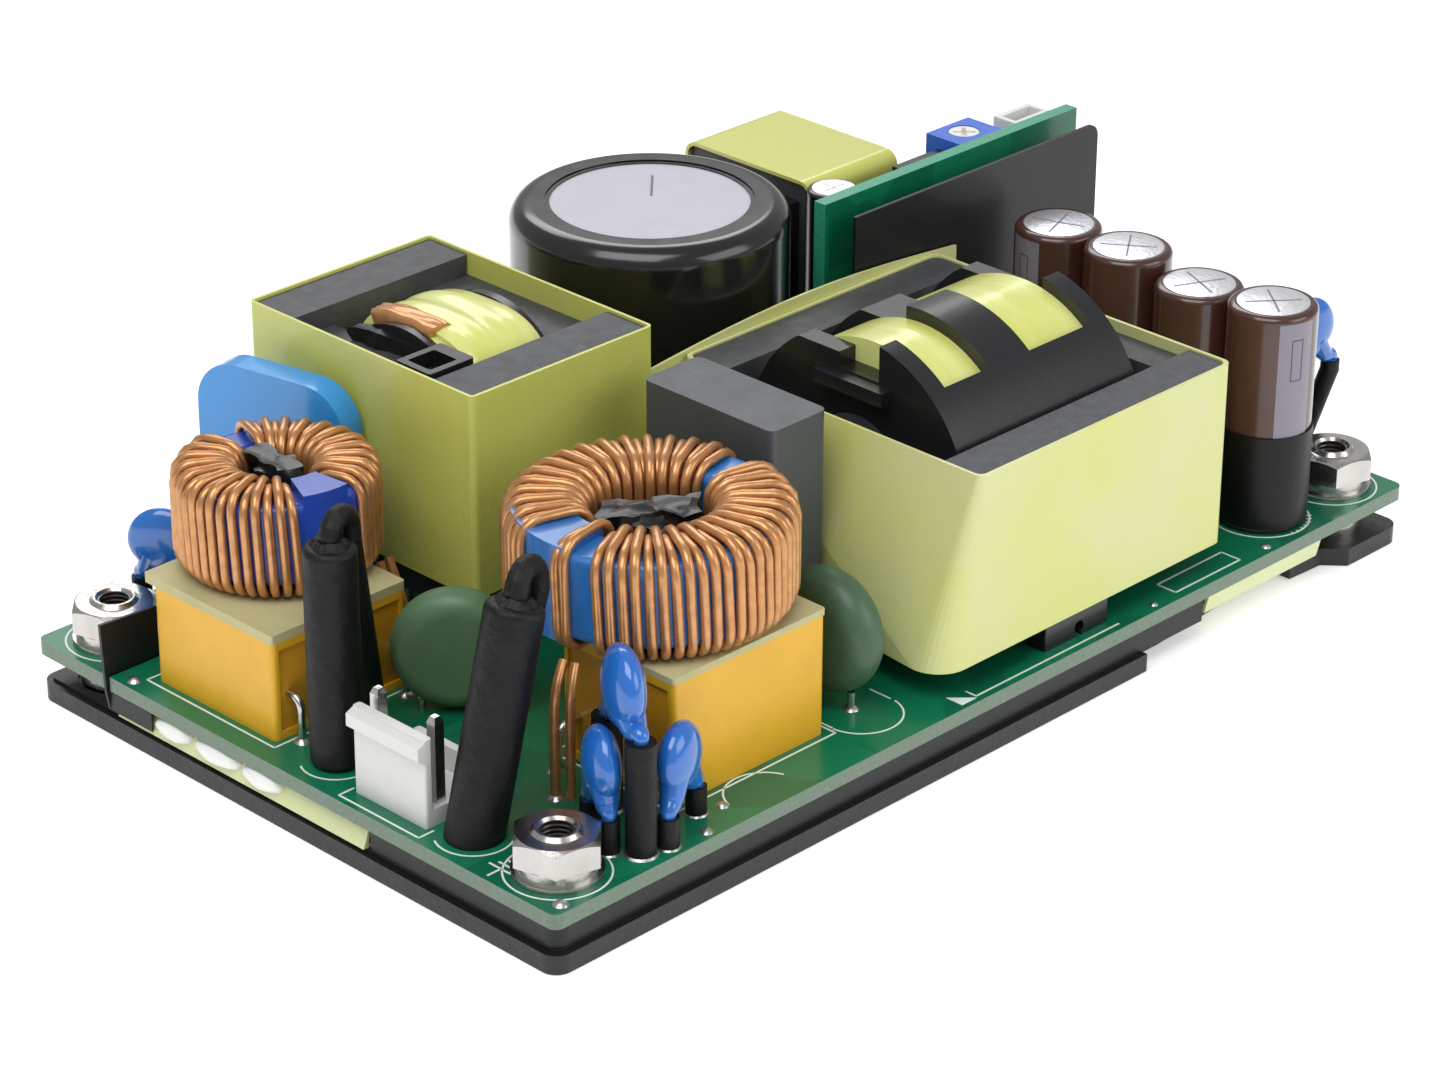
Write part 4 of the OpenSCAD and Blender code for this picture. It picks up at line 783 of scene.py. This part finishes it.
def drop(bm, at, r, t, turn, feet, top_r):
    """A dipped disc whose coating runs down its two legs."""
    c, s = math.cos(math.radians(turn)), math.sin(math.radians(turn))
    made = bmesh.ops.create_uvsphere(bm, u_segments=36, v_segments=22, radius=1.0)["verts"]
    for v in made:
        u, w, z = v.co.x * r, v.co.y * t / 2, v.co.z * r
        if z < 0:
            u *= 1.0 - 0.22 * (z / r) ** 2
        v.co = Vector(at) + Vector((u * c - w * s, u * s + w * c, z))
    for k, foot in enumerate(feet):
        side = (-1 if k == 0 else 1) * r * 0.34
        start = Vector(at) + Vector((side * c, side * s, -r * 0.35))
        foot = Vector(foot)
        mid = start.lerp(foot, 0.55) + Vector((0, 0, -0.25))
        path = smooth_path([start, mid, foot + Vector((0, 0, 0.5)),
                            foot - Vector((0, 0, 0.3))], 7)
        n = len(path) - 1
        radii = [top_r + (FOOT_R - top_r) * min(1.0, (i / n) * 1.25) ** 0.8
                 for i in range(n + 1)]
        tube(bm, path, radii, 16)


dipped = {
    ("front_drops", "disc_capacitors_front"): [
        ((-48.2, -31.3, 21.7), 4.2, 4.0, 61, [(-50.1, -35.5, 18.4), (-46.4, -27.2, 16.6)], 1.75),
        ((-50.7, -30.9, 14.6), 3.7, 3.6, 61, [(-52, -33.2, 10.2), (-49.6, -28.2, 9.2)], 1.6),
        ((-44.5, -34.9, 14.4), 3.5, 3.6, 22, [(-47.4, -36.4, 9.8), (-41.2, -33.8, 9.6)], 1.6)],
    ("left_drop", "disc_capacitor_left"): [
        ((-51.4, 32.1, 15.4), 3.7, 2.8, -52, [(-52.5, 34.6, 11), (-49.8, 30.4, 11)], 1.3)],
    ("right_drop", "disc_capacitor_right"): [
        ((58.5, -27.4, 23.2), 3.7, 2.8, -12, [(54.6, -26.6, 18.2), (62.2, -28.1, 18.8)], 1.3)],
}
for (name, node), discs in dipped.items():
    bm = bmesh.new()
    for disc in discs:
        drop(bm, *disc)
    obj = finish_piece(name, bm, MAT["blue_coating"], sharp=80)
    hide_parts(node)

# ------------------------------------------------------------ stud threads, darker as painted shade in the bores

bm = bmesh.new()
stud_top = box_of("mounting_studs")[1].z
for x in (-stud_x, stud_x):
    for y in (-stud_y, stud_y):
        for k in range(STUD_THREADS):
            z = stud_top - k * THREAD_PITCH
            ring_band(bm, x, y, z - 0.55, z - 0.32, 1.5, 1.68, steps=28)
finish_piece("stud_inner_threads", bm, bore_painted_shade)

# -------------------------------------------------------------- stage, light

bpy.ops.mesh.primitive_plane_add(size=6.0, location=(0.0, 0.0, -0.0001))
floor = bpy.context.object
floor.name = "floor"
floor_mat = bpy.data.materials.new("floor_pale")
floor_mat.use_nodes = True
fb = floor_mat.node_tree.nodes["Principled BSDF"]
fb.inputs["Base Color"].default_value = (0.93, 0.93, 0.93, 1)
fb.inputs["Roughness"].default_value = 0.8
fb.inputs["Specular IOR Level"].default_value = 0.05
fb.inputs["Emission Color"].default_value = (1, 1, 1, 1)
fb.inputs["Emission Strength"].default_value = 0.38
floor.data.materials.append(floor_mat)


def area(name, at, aim, size, power):
    """A rectangular lamp that points from one place to another."""
    d = bpy.data.lights.new(name, "AREA")
    d.shape = "RECTANGLE"
    d.size, d.size_y = size
    d.energy = power
    o = bpy.data.objects.new(name, d)
    o.location = at
    o.rotation_mode = "QUATERNION"
    o.rotation_quaternion = (Vector(aim) - Vector(at)).to_track_quat("-Z", "Y")
    bpy.context.scene.collection.objects.link(o)


area("key", (-0.30, -0.12, 0.62), (0, 0, 0.015), (0.55, 0.45), 3.0)
area("fill", (0.25, -0.6, 0.35), (0, 0, 0.02), (0.5, 0.4), 1.5)
area("rim", (0.35, 0.5, 0.5), (0, 0, 0.02), (0.5, 0.3), 1.6)

world = bpy.data.worlds.new("white_room")
bpy.context.scene.world = world
world.use_nodes = True
wn = world.node_tree
wn.nodes.clear()
out = wn.nodes.new("ShaderNodeOutputWorld")
mixw = wn.nodes.new("ShaderNodeMixShader")
seen = wn.nodes.new("ShaderNodeBackground")
seen.inputs["Color"].default_value = (1, 1, 1, 1)
seen.inputs["Strength"].default_value = 1.0
lit = wn.nodes.new("ShaderNodeBackground")
lit.inputs["Color"].default_value = (1, 1, 1, 1)
lit.inputs["Strength"].default_value = 0.42
path = wn.nodes.new("ShaderNodeLightPath")
m1 = wn.nodes.new("ShaderNodeMath")
m1.operation = "MAXIMUM"
wn.links.new(path.outputs["Is Camera Ray"], m1.inputs[0])
wn.links.new(path.outputs["Is Transmission Ray"], m1.inputs[1])
wn.links.new(m1.outputs["Value"], mixw.inputs[0])
wn.links.new(lit.outputs[0], mixw.inputs[1])
wn.links.new(seen.outputs[0], mixw.inputs[2])
wn.links.new(mixw.outputs[0], out.inputs["Surface"])

cam_data = bpy.data.cameras.new("camera")
cam = bpy.data.objects.new("camera", cam_data)
bpy.context.scene.collection.objects.link(cam)
cam_data.sensor_width = 36.0
cam_data.lens = 108.966
cam_data.clip_start = 0.01
cam_data.clip_end = 20.0
right = Vector((0.702159, -0.712005, 0.004572))
upv = Vector((0.315365, 0.316748, 0.894548))
back = Vector((-0.638371, -0.626673, 0.446949))
rot = Matrix((right, upv, back)).transposed()
cam.rotation_mode = "QUATERNION"
cam.rotation_quaternion = rot.to_quaternion()
cam.location = (-0.2931882, -0.2841417, 0.2127376)
scene = bpy.context.scene
scene.camera = cam
scene.render.resolution_x = 1024
scene.render.resolution_y = 768
scene.view_settings.view_transform = "Standard"
scene.view_settings.look = "None"
scene.view_settings.exposure = 0.0
